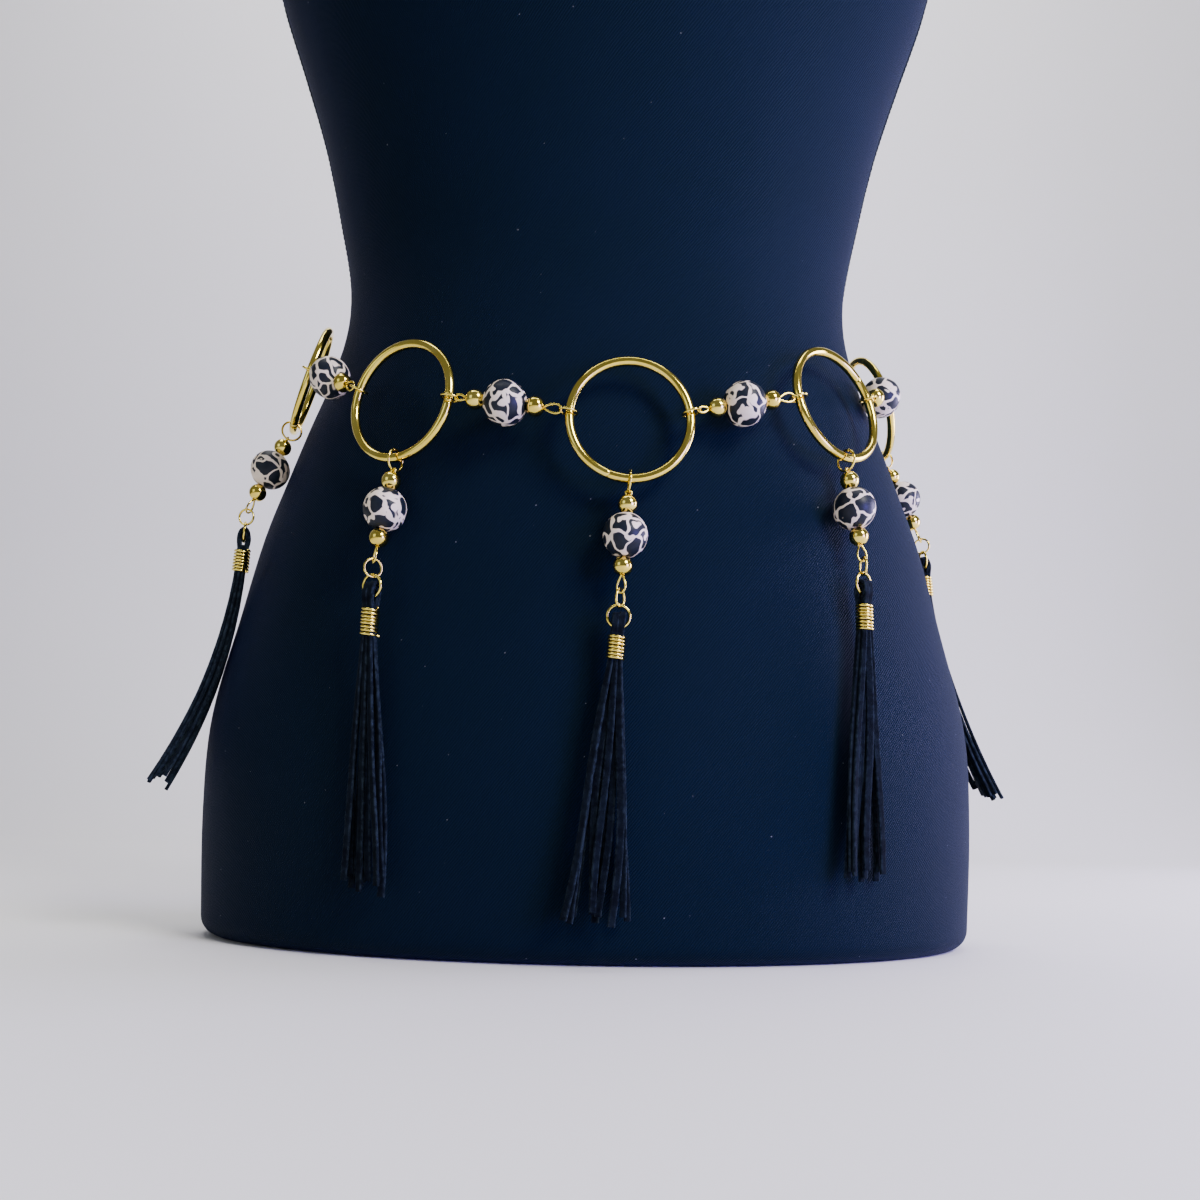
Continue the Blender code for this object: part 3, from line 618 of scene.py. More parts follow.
def cut_ring(radius, joint, cut, steps, height=0.0):
    """A ring in the XZ plane, open at a turn by as much as the cut to both sides of it."""
    return arc(radius, joint + cut, joint + 2 * math.pi - cut, steps, height)


def drop_path(length, half_width, top, steps):
    """A drop-shaped loop in the XZ plane that hangs from top, narrow at the top."""
    path = []
    for k in range(steps + 1):
        a = 2 * math.pi * k / steps
        x = half_width * EYE_FULLNESS * math.sin(a) * abs(math.sin(a / 2))
        path.append(Vector((x, 0, top - length / 2 + length / 2 * math.cos(a))))
    return path


def oval_path(length, half_width, top, steps):
    path = []
    for k in range(steps):
        a = 2 * math.pi * k / steps
        path.append(Vector((half_width * math.sin(a), 0, top - length / 2 + length / 2 * math.cos(a))))
    return path


def bead_profile(radius, end, bore, rows, lip):
    """The side of a bead with a rounded lip at its bore."""
    reach = math.asin(end / radius)
    profile = []
    for k in range(rows):
        angle = -reach + 2 * reach * k / (rows - 1)
        profile.append((radius * math.cos(angle), radius * math.sin(angle)))
    rim = end + lip * 0.1
    return profile + [(bore + lip, rim), (bore, end - lip), (bore, -end + lip), (bore + lip, -rim)]


def add_jump_ring(shape, radius, place, joint):
    """A jump ring in the YZ plane of a place, with its cut at a turn."""
    path = cut_ring(radius, joint, JUMP_CUT / radius, JUMP_STEPS)
    shape.add(wire(path, JUMP_WIRE_RADIUS, WIRE_SIDES, blunt=0.12),
              Matrix.Translation(place) @ QUARTER_TURN)


def add_eye(shape, bead_end, length, points_up, twist=0.0):
    """An eye bent from the pin's own wire: out of the gold bead, round, and back to just short of it."""
    half_width = EYE_HALF_WIDTH if length == LONG_EYE else SMALL_EYE_HALF_WIDTH
    path = [Vector((0, 0, EYE_SINK + EYE_ROOT))] + drop_path(length, half_width, EYE_SINK, EYE_STEPS)[1:-1]
    flip = Matrix.Rotation(math.pi, 4, "Y") if points_up else Matrix.Identity(4)
    place = Matrix.Translation((0, 0, bead_end)) @ Matrix.Rotation(twist, 4, "Z") @ flip
    shape.add(wire(path, EYE_WIRE_RADIUS, WIRE_SIDES), place)


def add_gold_beads(shape, matrix):
    """The two gold beads of a pin, and the pin through them."""
    profile = bead_profile(GOLD_BEAD_RADIUS, GOLD_BEAD_END, GOLD_BEAD_BORE, GOLD_BEAD_ROWS, GOLD_BEAD_LIP)
    for height in (-BEAD_PITCH, BEAD_PITCH):
        shape.add(turned(profile, GOLD_BEAD_SIDES, True), matrix @ Matrix.Translation((0, 0, height)))
    shape.add(turned([(PIN_RADIUS, -PIN_END), (PIN_RADIUS, PIN_END)], PIN_SIDES), matrix)


def strand_places(half_spread, drift, flare, seed):
    """For each lace its root, its end and its length, in three layers from front to back."""
    chance = random.Random(seed)
    laces = []
    for depth, count in LAYERS:
        for k in range(count):
            share = (k + 0.5) / count * 2 - 1
            share += chance.uniform(-0.16, 0.16) / count
            end_share = share + chance.uniform(-0.17, 0.17)
            end_depth = depth * END_HALF_DEPTH + chance.uniform(0.0, 0.0006)
            laces.append({
                "root": Vector((share * ROOT_HALF_WIDTH, depth * ROOT_HALF_DEPTH, 0)),
                "end": Vector((end_share * half_spread + drift, end_depth, 0)),
                "flare": flare * (1.13 + 0.07 * depth + chance.uniform(-0.02, 0.02)),
                "length": STRAND_LENGTH - chance.uniform(0.0, LENGTH_SPREAD),
                "turn": math.radians(chance.uniform(-24, 24)),
                "sway": chance.uniform(-0.0026, 0.0026) * (1 - 0.5 * abs(share)),
                "bow": BOW * share,
                "phase": chance.uniform(0, 2 * math.pi),
                "width": LACE_WIDTH * chance.uniform(0.86, 1.14),
            })
    return laces


def lace_section(x_axis, y_axis, centre, width, thickness):
    """The rounded section of a lace. The outer points carry the worn-edge mark."""
    half_width = width / 2
    half_thick = thickness / 2
    corner = thickness * LACE_CORNER
    flat = half_width * LACE_FLAT
    half = (
        (-half_width, -half_thick + corner, 1.0), (-half_width + corner, -half_thick, 0.6),
        (-flat, -half_thick, 0.0), (flat, -half_thick, 0.0),
        (half_width - corner, -half_thick, 0.6), (half_width, -half_thick + corner, 1.0),
    )
    outline = half + tuple((-x, -y, mark) for x, y, mark in half)
    points = [centre + x_axis * x + y_axis * y for x, y, _ in outline]
    return points, [mark for _, _, mark in outline]


def add_lace(shape, path, turns, widths):
    """A lace along a path. Each turn is the section's angle about the path, from the X axis."""
    loops = []
    marks = []
    count = len(path)
    for k, place in enumerate(path):
        ahead = path[min(k + 1, count - 1)]
        behind = path[max(k - 1, 0)]
        along = (ahead - behind).normalized()
        level = Vector((1, 0, 0))
        x_axis = (level - along * level.dot(along)).normalized()
        y_axis = along.cross(x_axis)
        a = turns[k]
        turned_x = x_axis * math.cos(a) + y_axis * math.sin(a)
        turned_y = y_axis * math.cos(a) - x_axis * math.sin(a)
        points, edge = lace_section(turned_x, turned_y, place, widths[k], LACE_THICKNESS)
        loops.append(points)
        marks += edge
    shape.add(bridged(loops), marks=marks)


def add_tassel_laces(shape, laces, head_top, wrap_length):
    """The hanging laces, from inside the wrap to their ends."""
    start = -head_top - wrap_length * 0.6
    for lace in laces:
        path = []
        turns = []
        widths = []
        for k in range(LACE_STEPS + 1):
            t = k / LACE_STEPS
            place = lace["root"].lerp(lace["end"], t ** FAN)
            sway = math.sin(t * 5.5 + lace["phase"]) - math.sin(lace["phase"]) * (1 - t)
            place.x += lace["sway"] * sway * t + lace["bow"] * math.sin(math.pi * t)
            place.y += 0.25 * abs(lace["sway"]) * (1 + math.cos(t * 4.0 + lace["phase"])) * t
            place.y += lace["flare"] * t * t
            place.z = start - t * (lace["length"] + wrap_length * 0.4)
            path.append(place)
            ease = t * t * (3 - 2 * t)
            turns.append(LACE_ROOT_TURN * (1 - ease) + lace["turn"] * ease)
            taper = LACE_ROOT_WIDTH + (1 - LACE_ROOT_WIDTH) * min(1.0, 4 * t)
            widths.append(lace["width"] * taper * (1 + 0.05 * math.sin(1.9 * k + lace["phase"])))
        add_lace(shape, path, turns, widths)


def fold_side(across, depth, t, head_top):
    """A point of a folded lace between the wrap, where t is 0, and the ring, where t is 1."""
    height = -head_top - FOLD_BELOW + t * FOLD_SIDE
    return Vector((across * (0.88 + 0.12 * t), depth * (0.62 + 0.38 * t), height))


def add_fold(shape, head_top):
    """Laces folded over the tassel ring's lowest wire, two outside and two under them."""
    shares = [k / FOLD_SIDE_STEPS for k in range(FOLD_SIDE_STEPS)]
    for across, top, depth, width, lean in FOLD_LACES:
        path = [fold_side(across, depth, t, head_top) for t in shares]
        for k in range(FOLD_TOP_STEPS + 1):
            a = math.pi * k / FOLD_TOP_STEPS
            height = FOLD_WIRE_TOP + (top - FOLD_WIRE_TOP) * math.sin(a)
            path.append(Vector((across - lean * math.sin(a), depth * math.cos(a), height)))
        path += [fold_side(across, -depth, t, head_top) for t in reversed(shares)]
        add_lace(shape, path, [0.0] * len(path), [width] * len(path))


def add_head(shape, head_top, wrap_length):
    """The laces pressed together inside the wrap."""
    bottom = -head_top - wrap_length
    profile = (
        (0.0016, -head_top + 0.0012),
        (HEAD_RADIUS * 0.8, -head_top + 0.0004),
        (HEAD_RADIUS * 0.97, -head_top - 0.0005),
        (HEAD_RADIUS * 0.97, bottom + 0.0004),
        (HEAD_RADIUS * 0.7, bottom - 0.002),
    )
    shape.add(turned(profile, HEAD_SIDES))


def add_wrap(shape, head_top, wrap_length, seed):
    """A thin wire wound round the tassel's head, with its lower end turned out."""
    chance = random.Random(seed)
    rows = round(wrap_length / WRAP_PITCH) - 1
    pitch = (wrap_length - 2 * WRAP_WIRE_RADIUS) / rows
    radius = HEAD_RADIUS + WRAP_WIRE_RADIUS
    start = math.radians(chance.uniform(150, 230))
    path = []
    offsets = [chance.uniform(-WRAP_SLIDE, WRAP_SLIDE) for _ in range(rows + 2)]
    bulges = [chance.uniform(*WRAP_BULGES) for _ in range(rows + 2)]
    for k in range(rows * WRAP_STEPS + 1):
        t = k / WRAP_STEPS
        row = int(t)
        share = t - row
        slide = offsets[row] * (1 - share) + offsets[row + 1] * share
        out = radius + bulges[row] * (1 - share) + bulges[row + 1] * share
        a = start + 2 * math.pi * t
        height = -head_top - CLEARANCE - WRAP_WIRE_RADIUS - t * pitch + slide * min(1.0, t, rows - t)
        path.append(Vector((out * math.cos(a), out * math.sin(a), height)))
    along = (path[-1] - path[-2]).normalized()
    away = Vector((path[-1].x, path[-1].y, 0)).normalized()
    for k in range(1, 4):
        path.append(path[-1] + along * WRAP_TAIL_STEP + away * WRAP_TAIL_LIFT * k)
    shape.add(wire(path, WRAP_WIRE_RADIUS, WRAP_SIDES, blunt=0.5))


# Materials

class Surface:
    """A material built from nodes."""

    def __init__(self, name):
        self.material = bpy.data.materials.new(name)
        self.material.use_nodes = True
        self.tree = self.material.node_tree
        self.shader = self.tree.nodes["Principled BSDF"]

    def node(self, kind, inputs=None, **settings):
        node = self.tree.nodes.new("ShaderNode" + kind)
        for key, value in settings.items():
            setattr(node, key, value)
        for key, value in (inputs or {}).items():
            self.feed(node.inputs[key], value)
        return node

    def feed(self, socket, value):
        if isinstance(value, bpy.types.NodeSocket):
            self.tree.links.new(value, socket)
        else:
            socket.default_value = value

    def set(self, **values):
        """Set inputs of the shader, with _ for each space in their names."""
        for key, value in values.items():
            self.feed(self.shader.inputs[key.replace("_", " ")], value)

    def own_place(self):
        return self.node("TexCoord").outputs["Object"]

    def attribute(self, name, output):
        return self.node("Attribute", attribute_name=name).outputs[output]

    def math(self, operation, first, second=0.0, clamp=False):
        node = self.node("Math", {0: first, 1: second}, operation=operation, use_clamp=clamp)
        return node.outputs[0]

    def times(self, first, second, clamp=False):
        return self.math("MULTIPLY", first, second, clamp)

    def plus(self, first, second):
        return self.math("ADD", first, second)

    def vectors(self, operation, first, second=(0.0, 0.0, 0.0)):
        """Vector maths with two vectors, or with a vector and a number to scale it by."""
        key = "Scale" if operation == "SCALE" else 1
        node = self.node("VectorMath", {0: first, key: second}, operation=operation)
        return node.outputs["Value" if operation == "DOT_PRODUCT" else 0]

    def mix(self, factor, first, second):
        """A colour between two, which the node takes at inputs 6 and 7 and gives at output 2."""
        node = self.node("Mix", {"Factor": factor, 6: first, 7: second}, data_type="RGBA")
        return node.outputs[2]

    def noise(self, vector, scale, detail=3.0, roughness=0.5, distortion=0.0, output="Fac"):
        inputs = {"Vector": vector, "Scale": scale, "Detail": detail}
        inputs |= {"Roughness": roughness, "Distortion": distortion}
        return self.node("TexNoise", inputs).outputs[output]

    def band(self, value, low, high):
        """0 below low, 1 above high."""
        node = self.node("MapRange", {"Value": value, "From Min": low, "From Max": high},
                         interpolation_type="SMOOTHSTEP")
        return node.outputs["Result"]

    def between(self, value, low, high):
        """Low where the value is 0, high where it is 1."""
        node = self.node("MapRange", {"Value": value, "To Min": low, "To Max": high})
        return node.outputs["Result"]

    def waves(self, length, pitch):
        """Waves from 0 to 1, one in each pitch of a length."""
        wave = self.math("SINE", self.times(length, 2 * math.pi / pitch))
        return self.times(self.plus(wave, 1.0), 0.5)

    def bump(self, height, distance, strength=1.0):
        node = self.node("Bump", {"Height": height, "Distance": distance, "Strength": strength})
        self.set(Normal=node.outputs["Normal"])


def gold_surface():
    """Polished gold with a cloudy colour and fine scratches."""
    surface = Surface("polished_gold")
    place = surface.own_place()
    cloudy = surface.band(surface.noise(place, 130.0), 0.35, 0.7)
    surface.set(Base_Color=surface.mix(cloudy, *GOLD_COLOURS), Metallic=1.0)
    surface.set(Roughness=surface.between(surface.noise(place, 600.0, 3.0, 0.6), 0.08, 0.15))
    surface.bump(surface.noise(place, 160.0, 4.0, 0.6, 0.4), 0.00005, 0.08)
    return surface.material


def leopard_surface():
    """Dark patches on cream, some with a cream heart, in the bead's own coordinates."""
    surface = Surface("printed_wood")
    place = surface.attribute("print_place", "Vector")
    wobble = surface.vectors("SUBTRACT", surface.noise(place, 150.0, 1.0, output="Color"), MIDDLE_GREY)
    vector = surface.vectors("ADD", place, surface.vectors("SCALE", wobble, PRINT_WOBBLE))
    inputs = {"Vector": vector, "Scale": PRINT_SCALE, "Randomness": 0.9}
    cells = surface.node("TexVoronoi", inputs, feature="F1").outputs
    edges = surface.node("TexVoronoi", inputs, feature="DISTANCE_TO_EDGE").outputs
    web = surface.band(edges["Distance"], *PRINT_WEB)
    chosen = surface.node("SeparateColor", {"Color": cells["Color"]}).outputs[0]
    hearted = surface.math("GREATER_THAN", chosen, PRINT_PLAIN_SHARE)
    heart = surface.math("SUBTRACT", 1.0, surface.band(cells["Distance"], 0.20, 0.24))
    # Each heart opens to its cell's edge on one side
    spoke = surface.vectors("NORMALIZE", surface.vectors("SUBTRACT", vector, cells["Position"]))
    drawn = surface.vectors("NORMALIZE", surface.vectors("SUBTRACT", cells["Color"], MIDDLE_GREY))
    opening = surface.band(surface.vectors("DOT_PRODUCT", spoke, drawn), 0.80, 0.86)
    light = surface.times(surface.math("MAXIMUM", heart, opening), hearted)
    print_mask = surface.times(web, surface.math("SUBTRACT", 1.0, light), clamp=True)
    grain = surface.noise(place, 700.0, 4.0, 0.6)
    cream = surface.mix(grain, *CREAM_COLOURS)
    dark = surface.mix(surface.noise(place, 500.0), *PRINT_COLOURS)
    surface.set(Base_Color=surface.mix(print_mask, cream, dark), Specular_IOR_Level=0.22)
    surface.set(Roughness=surface.between(grain, 0.34, 0.5))
    surface.bump(surface.plus(surface.times(print_mask, -0.5), surface.times(grain, 0.4)), 0.00006, 0.5)
    return surface.material


def suede_surface():
    """Black suede, rubbed paler in patches and along the marked edges of each lace."""
    surface = Surface("black_suede")
    place = surface.own_place()
    nap = surface.noise(place, 1400.0, 4.0, 0.7)
    coarse = surface.noise(place, 420.0, 3.0, 0.6)
    edge = surface.plus(surface.attribute("edge", "Fac"), 0.22)
    rubbed = surface.plus(surface.band(coarse, 0.42, 0.62), 0.25)
    wear = surface.times(surface.times(edge, rubbed), 0.42, clamp=True)
    patches = surface.band(surface.noise(place, 160.0, 3.0, 0.6), 0.35, 0.7)
    face = surface.mix(patches, *SUEDE_COLOURS)
    surface.set(Base_Color=surface.mix(wear, face, surface.mix(nap, *WORN_COLOURS)))
    surface.set(Roughness=0.92, Sheen_Weight=0.05, Sheen_Roughness=0.35, Sheen_Tint=(0.35, 0.55, 0.95, 1))
    surface.set(Specular_IOR_Level=0.05)
    surface.bump(surface.plus(nap, coarse), 0.00025, 0.9)
    return surface.material


def twill_surface():
    """Black twill with slanted ribs, finer yarns, fuzz and rare specks, in the cloth's own metres."""
    surface = Surface("black_twill")
    cloth = surface.node("UVMap", uv_map="cloth").outputs["UV"]
    parts = surface.node("SeparateXYZ", {"Vector": cloth}).outputs
    across, up = parts["X"], parts["Y"]
    drift = surface.times(surface.noise(cloth, 45.0, 2.0), 0.0016)
    slant = surface.math("SUBTRACT", surface.times(across, 0.78), surface.times(up, 0.62))
    ribs = surface.waves(surface.plus(slant, drift), TWILL_RIB_PITCH)
    yarns = surface.waves(surface.plus(slant, surface.times(up, 1.7)), TWILL_YARN_PITCH)
    fuzz = surface.noise(cloth, 2600.0, 3.0, 0.7)
    weave = surface.plus(surface.times(ribs, 0.6), surface.times(yarns, 0.2))
    weave = surface.plus(weave, surface.times(fuzz, 0.35))
    patches = surface.band(surface.noise(cloth, 14.0, 4.0, 0.6), 0.35, 0.65)
    base = surface.mix(patches, *TWILL_COLOURS)
    thread = surface.mix(surface.times(weave, 0.8), base, THREAD_COLOUR)
    specks = surface.node("TexVoronoi", {"Vector": cloth, "Scale": 90.0}, voronoi_dimensions="2D").outputs
    rare = surface.node("SeparateColor", {"Color": specks["Color"]}).outputs[0]
    size = surface.times(surface.math("SUBTRACT", rare, 0.86), 0.20)
    dots = surface.times(surface.math("LESS_THAN", specks["Distance"], size), 0.30)
    surface.set(Base_Color=surface.mix(dots, thread, SPECK_COLOUR))
    surface.set(Roughness=0.62, Sheen_Weight=0.07, Sheen_Roughness=0.26, Sheen_Tint=(0.30, 0.30, 1.0, 1))
    surface.set(Specular_IOR_Level=0.055, Specular_Tint=(0.35, 0.55, 1.0, 1))
    surface.bump(weave, 0.00026, 1.0)
    return surface.material


def cord_surface():
    surface = Surface("seam_cord")
    fibre = surface.noise(surface.own_place(), 1500.0, 4.0, 0.7)
    surface.set(Base_Color=surface.mix(fibre, *CORD_COLOURS))
    surface.set(Roughness=0.8, Sheen_Weight=0.06, Sheen_Roughness=0.4, Sheen_Tint=(0.4, 0.5, 0.9, 1))
    surface.set(Specular_IOR_Level=0.12)
    surface.bump(fibre, 0.00012, 0.6)
    return surface.material


def floor_surface():
    surface = Surface("pale_floor")
    shade = surface.noise(surface.own_place(), 3.0, 2.0)
    darker = tuple(channel * 0.97 for channel in FLOOR_COLOUR) + (1,)
    surface.set(Base_Color=surface.mix(shade, darker, FLOOR_COLOUR + (1,)), Roughness=FLOOR_ROUGHNESS)
    return surface.material


# Pieces

def finish_piece(piece, body, slot, *nodes):
    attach(piece, body)
    if nodes:
        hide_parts(*nodes)


def form_heights():
    """The height and the inset of each loop of the form, with both of its edges rounded."""
    top = FORM_ROWS[-1][0]
    turns = [math.pi / 2 * k / FORM_EDGE_STEPS for k in range(FORM_EDGE_STEPS, -1, -1)]
    lower = [(FORM_EDGE_RADIUS * (1 - math.sin(a)), FORM_EDGE_RADIUS * (1 - math.cos(a))) for a in turns]
    upper = [(top - height, inset) for height, inset in reversed(lower)]
    rise = top - 2 * FORM_EDGE_RADIUS
    between = [(FORM_EDGE_RADIUS + rise * k / FORM_LOOPS, 0.0) for k in range(1, FORM_LOOPS)]
    return lower + between + upper


def build_form(twill, cord):
    loops = []
    for height, inset in form_heights():
        loops.append([form_point(2 * math.pi * k / FORM_SIDES, height, inset) for k in range(FORM_SIDES)])
    shape = Shape()
    shape.add(bridged(loops))
    piece = shape.piece("form_cover", twill, sharp=80.0)
    add_cloth_map(piece.data, loops)
    finish_piece(piece, "root", "black_twill", "form")
    for side, name in ((1, "right"), (-1, "left")):
        finish_piece(seam_cord(side, name, cord), "root", "black_twill")


def add_cloth_map(mesh, loops):
    """Lay the cloth's coordinates out in metres: round the form from its front both ways, and up it."""
    half = FORM_SIDES // 2
    around = []
    for loop in loops:
        row = [0.0]
        for k in range(FORM_SIDES):
            row.append(row[-1] + (loop[(k + 1) % FORM_SIDES] - loop[k]).length)
        around.append(row[:half + 1] + [length - row[-1] for length in row[half + 1:]])
    up = [0.0]
    for lower, upper in zip(loops, loops[1:]):
        up.append(up[-1] + (upper[0] - lower[0]).length)
    layer = mesh.uv_layers.new(name="cloth")
    for face in mesh.polygons:
        corners = [divmod(mesh.loops[index].vertex_index, FORM_SIDES) for index in face.loop_indices]
        past_back = any(column > half for _, column in corners)
        for index, (row, column) in zip(face.loop_indices, corners):
            u = around[row][column]
            if column == half and past_back:
                u = around[row][half + 1] - (around[row][half] - around[row][half - 1])
            layer.data[index].uv = (u, up[row])


def seam_cord(side, name, surface):
    """Two yarns twisted together along the form's side seam."""
    shape = Shape()
    count = round((SEAM_TOP - SEAM_BOTTOM) / SEAM_STEP)
    for yarn in (0, 1):
        path = []
        for k in range(count + 1):
            height = SEAM_BOTTOM + (SEAM_TOP - SEAM_BOTTOM) * k / count
            surface_point = form_point(side * SEAM_TURN, height)
            outward = form_slope(surface_point).normalized()
            across = outward.cross(UP).normalized()
            a = 2 * math.pi * height / SEAM_TWIST_LENGTH + math.pi * yarn
            offset = outward * (math.cos(a) * SEAM_HALF_DEPTH + SEAM_STAND_OFF)
            offset += across * math.sin(a) * SEAM_HALF_WIDTH
            path.append(surface_point + offset * SEAM_YARN_RADIUS)
        shape.add(wire(path, SEAM_YARN_RADIUS, SEAM_SIDES))
    return shape.piece("seam_" + name, surface)


def build_ring(number, place, gold):
    joint = math.radians(RING_JOINTS.get(number, HIDDEN_RING_JOINT))
    path = cut_ring(RING_RADIUS, joint, RING_CUT / RING_RADIUS, RING_STEPS)
    shape = Shape()
    shape.add(wire(path, RING_WIRE_RADIUS, RING_SIDES, blunt=0.08))
    piece = shape.piece(f"gold_ring_{number}", gold, place.matrix())
    finish_piece(piece, "root", "gold", f"ring_{number}")


def random_vector(chance):
    return Vector([chance.uniform(-1, 1) for _ in range(3)])


def leopard_bead(name, wood, matrix, seed):
    """A printed bead, its print turned and moved at random within the pattern."""
    chance = random.Random(seed)
    shape = Shape()
    shape.add(turned(bead_profile(BEAD_RADIUS, BEAD_END, BORE_RADIUS, BEAD_ROWS, BEAD_LIP), BEAD_SIDES, True))
    piece = shape.piece(name, wood, matrix, sharp=75.0)
    axis = random_vector(chance).normalized()
    spin = Matrix.Rotation(chance.uniform(0, 2 * math.pi), 4, axis)
    shift = random_vector(chance)
    values = []
    for vertex in piece.data.vertices:
        values += list(spin @ vertex.co + shift)
    places = piece.data.attributes.new("print_place", "FLOAT_VECTOR", "POINT")
    places.data.foreach_set("vector", values)
    return piece


def build_link(number, matrix, gold, wood, last):
    """A bead link. The last one has the clasp in the place of its second jump ring."""
    shape = Shape()
    add_gold_beads(shape, Matrix.Identity(4))
    add_eye(shape, PIN_END, LONG_EYE, True)
    add_eye(shape, -PIN_END, SHORT_EYE, False)
    depth = LINK_JUMP_OFFSET * math.sin(JUMP_LEAN) - LINK_RISE
    inward = LINK_JUMP_OFFSET * math.cos(JUMP_LEAN)
    add_jump_ring(shape, LINK_JUMP_RADIUS, (0, depth, inward - LINK_START_REACH), LINK_START_JOINT)
    if not last:
        add_jump_ring(shape, LINK_JUMP_RADIUS, (0, depth, LINK_END_REACH - inward), LINK_END_JOINT)
    piece = shape.piece(f"link_{number}", gold, matrix)
    finish_piece(piece, "root", "gold", f"link_pin_{number}")
    bead = leopard_bead(f"bead_{number}", wood, matrix, LINK_BEAD_SEED + number)
    finish_piece(bead, "root", "printed_wood", f"link_bead_{number}")


def build_clasp(frame, ring_wire, gold):
    """The lobster clasp between the last link's eye and the first ring: tail, hook, gate and lever."""
    eye_point = frame @ Vector((0, 0, PIN_END - EYE_SINK + LONG_EYE))
    reach = (ring_wire - eye_point).normalized()
    across = frame.col[0].to_3d()
    across = (across - reach * across.dot(reach)).normalized()
    matrix = axes_matrix(across, across.cross(reach), -reach, eye_point)
    tail_top = EYE_WIRE_RADIUS + LINK_PLAY + JUMP_WIRE_RADIUS
    tail = oval_path(CLASP_TAIL_LENGTH, CLASP_TAIL_HALF_WIDTH, tail_top, CLASP_TAIL_STEPS)
    hook_top = tail_top - CLASP_TAIL_LENGTH - JUMP_WIRE_RADIUS
    outline = drop_path(CLASP_LENGTH, CLASP_HALF_WIDTH, hook_top, CLASP_STEPS)
    hook = outline[:CLASP_HOOK_POINTS]
    shares = [k / (CLASP_HOOK_POINTS - 1) for k in range(CLASP_HOOK_POINTS)]
    hook_sizes = [CLASP_THICK - CLASP_TAPER * share ** 2 for share in shares]
    gate = outline[CLASP_GATE_START:]
    gate_sizes = [GATE_THIN + GATE_SWELL * k for k in range(len(gate))]
    lever = [outline[CLASP_LEVER_POINT] + Vector((aside, 0, up)) for aside, up, _ in CLASP_LEVER]
    lever_sizes = [radius for _, _, radius in CLASP_LEVER]
    shape = Shape()
    shape.add(wire(tail, JUMP_WIRE_RADIUS, WIRE_SIDES, True), QUARTER_TURN)
    shape.add(wire(hook, hook_sizes, HOOK_SIDES), QUARTER_TURN)
    shape.add(wire(gate, gate_sizes, GATE_SIDES), QUARTER_TURN)
    shape.add(wire(lever, lever_sizes, WIRE_SIDES, blunt=0.6), QUARTER_TURN)
    finish_piece(shape.piece("lobster_clasp", gold, matrix), "root", "gold", "clasp")


def build_drop(place, settings, gold, wood, suede):
    """A drop, from its jump ring on the large ring down to the ends of its laces."""
    number, sway, head_top, wrap_length, half_spread, drift, flare, seed, lower_lean = settings
    body = f"drop_{number}"
    sway = math.radians(sway)
    across, outward = drop_axes(place)
    upper = leaning(across, outward, pin_lean(place, sway), sway, place.bottom_wire)
    shape = Shape()
    middle = Matrix.Translation((0, 0, DROP_BEAD_HEIGHT))
    add_gold_beads(shape, middle)
    add_eye(shape, DROP_BEAD_HEIGHT + PIN_END, DROP_EYE, True)
    add_eye(shape, DROP_BEAD_HEIGHT - PIN_END, LONG_EYE, False, LOWER_EYE_TWIST)
    add_jump_ring(shape, DROP_JUMP_RADIUS, (0, 0, -DROP_JUMP_OFFSET), DROP_JOINT)
    finish_piece(shape.piece(f"drop_wire_{number}", gold, upper), body, "gold", f"drop_pin_{number}")
    bead = leopard_bead(f"hanging_bead_{number}", wood, upper @ middle, DROP_BEAD_SEED + number)
    finish_piece(bead, body, "printed_wood", f"drop_bead_{number}")

    eye_point = upper @ Vector((0, 0, LOWER_EYE_HEIGHT))
    lower = leaning(across, outward, math.radians(lower_lean), sway, eye_point)
    shape = Shape()
    hanging = cut_ring(HANGING_RING_RADIUS, HANGING_RING_JOINT, HANGING_RING_CUT, HANGING_RING_STEPS,
                       HANGING_RING_MIDDLE)
    shape.add(wire(hanging, HANGING_RING_WIRE_RADIUS, WIRE_SIDES, blunt=RING_BLUNT),
              Matrix.Rotation(HANGING_RING_TWIST, 4, "Z"))
    ring = cut_ring(TASSEL_RING_RADIUS, 0.0, TASSEL_RING_CUT, TASSEL_RING_STEPS,
                    TASSEL_RING_TOP - TASSEL_RING_RADIUS)
    shape.add(wire(ring, TASSEL_RING_WIRE_RADIUS, TASSEL_RING_SIDES, blunt=RING_BLUNT))
    finish_piece(shape.piece(f"hanging_links_{number}", gold, lower), body, "gold", f"drop_links_{number}")

    fold = lower @ Matrix.Translation((0, 0, TASSEL_RING_TOP - 2 * TASSEL_RING_RADIUS))
    laces = Shape()
    add_fold(laces, head_top)
    add_tassel_laces(laces, strand_places(half_spread, drift, flare, seed), head_top, wrap_length)
    add_head(laces, head_top, wrap_length)
    finish_piece(laces.piece(f"suede_tassel_{number}", suede, fold), body, "black_suede", f"tassel_{number}")
    wrap = Shape()
    add_wrap(wrap, head_top, wrap_length, WRAP_SEED + number)
    finish_piece(wrap.piece(f"wire_wrap_{number}", gold, fold), body, "gold", f"wrap_{number}")


# Studio

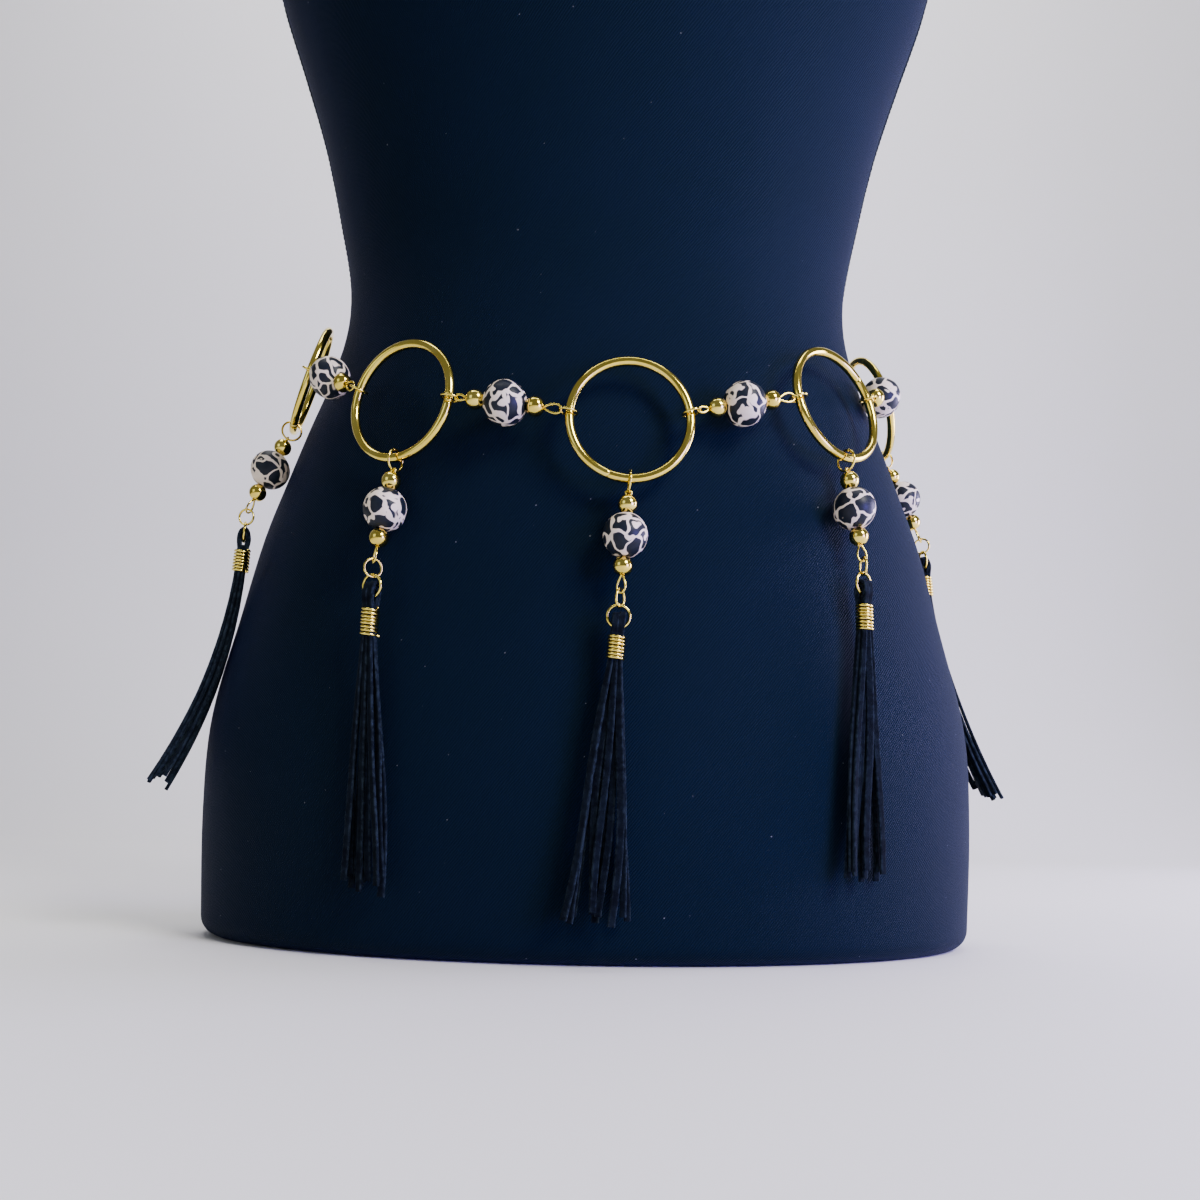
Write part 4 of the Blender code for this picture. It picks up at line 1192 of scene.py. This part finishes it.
def build_camera():
    data = bpy.data.cameras.new("camera")
    data.lens = LENS
    data.sensor_width = SENSOR
    data.sensor_fit = "HORIZONTAL"
    data.shift_x = SHIFT_X
    data.shift_y = SHIFT_Y
    data.clip_start = 0.01
    camera = bpy.data.objects.new("camera", data)
    bpy.context.scene.collection.objects.link(camera)
    camera.matrix_world = (Matrix.Translation(CAMERA_PLACE) @ Matrix.Rotation(math.pi / 2, 4, "X")
                           @ Matrix.Rotation(CAMERA_ROLL, 4, "Z"))
    bpy.context.scene.camera = camera


def area_light(name, place, target, size, power, colour):
    data = bpy.data.lights.new(name, "AREA")
    data.size = size
    data.energy = power
    data.color = colour
    light = bpy.data.objects.new(name, data)
    bpy.context.scene.collection.objects.link(light)
    light.location = place
    light.rotation_euler = (Vector(target) - Vector(place)).to_track_quat("-Z", "Y").to_euler()


def build_studio():
    """The floor, which bends up into the backdrop, the lights and the world."""
    turns = [math.pi / 2 * k / FLOOR_BEND_STEPS for k in range(1, FLOOR_BEND_STEPS + 1)]
    profile = [(FLOOR_FRONT, 0.0), (FLOOR_BACK, 0.0)]
    profile += [(FLOOR_BACK + FLOOR_BEND * math.sin(a), FLOOR_BEND * (1 - math.cos(a))) for a in turns]
    profile.append((FLOOR_BACK + FLOOR_BEND, BACKDROP_TOP))
    points = [Vector((x, y, z)) for x in (-FLOOR_HALF_WIDTH, FLOOR_HALF_WIDTH) for y, z in profile]
    count = len(profile)
    faces = [(k, k + 1, count + k + 1, count + k) for k in range(count - 1)]
    shape = Shape()
    shape.add((points, faces))
    shape.piece("studio_floor", floor_surface())
    for light in LIGHTS:
        area_light(*light)
    world = bpy.data.worlds.new("studio")
    world.use_nodes = True
    background = world.node_tree.nodes["Background"]
    background.inputs["Color"].default_value = WORLD_COLOUR
    background.inputs["Strength"].default_value = WORLD_STRENGTH
    bpy.context.scene.world = world


def main():
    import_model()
    build_camera()
    build_studio()
    gold = gold_surface()
    wood = leopard_surface()
    suede = suede_surface()
    build_form(twill_surface(), cord_surface())
    places = seated_places()
    for number, place in places.items():
        build_ring(number, place, gold)
    frames = link_matrices(places)
    for number, frame in enumerate(frames, 1):
        build_link(number, frame, gold, wood, number == RING_COUNT)
    build_clasp(frames[-1], places[1].left_wire, gold)
    for settings in DROPS:
        build_drop(places[settings[0]], settings, gold, wood, suede)


main()
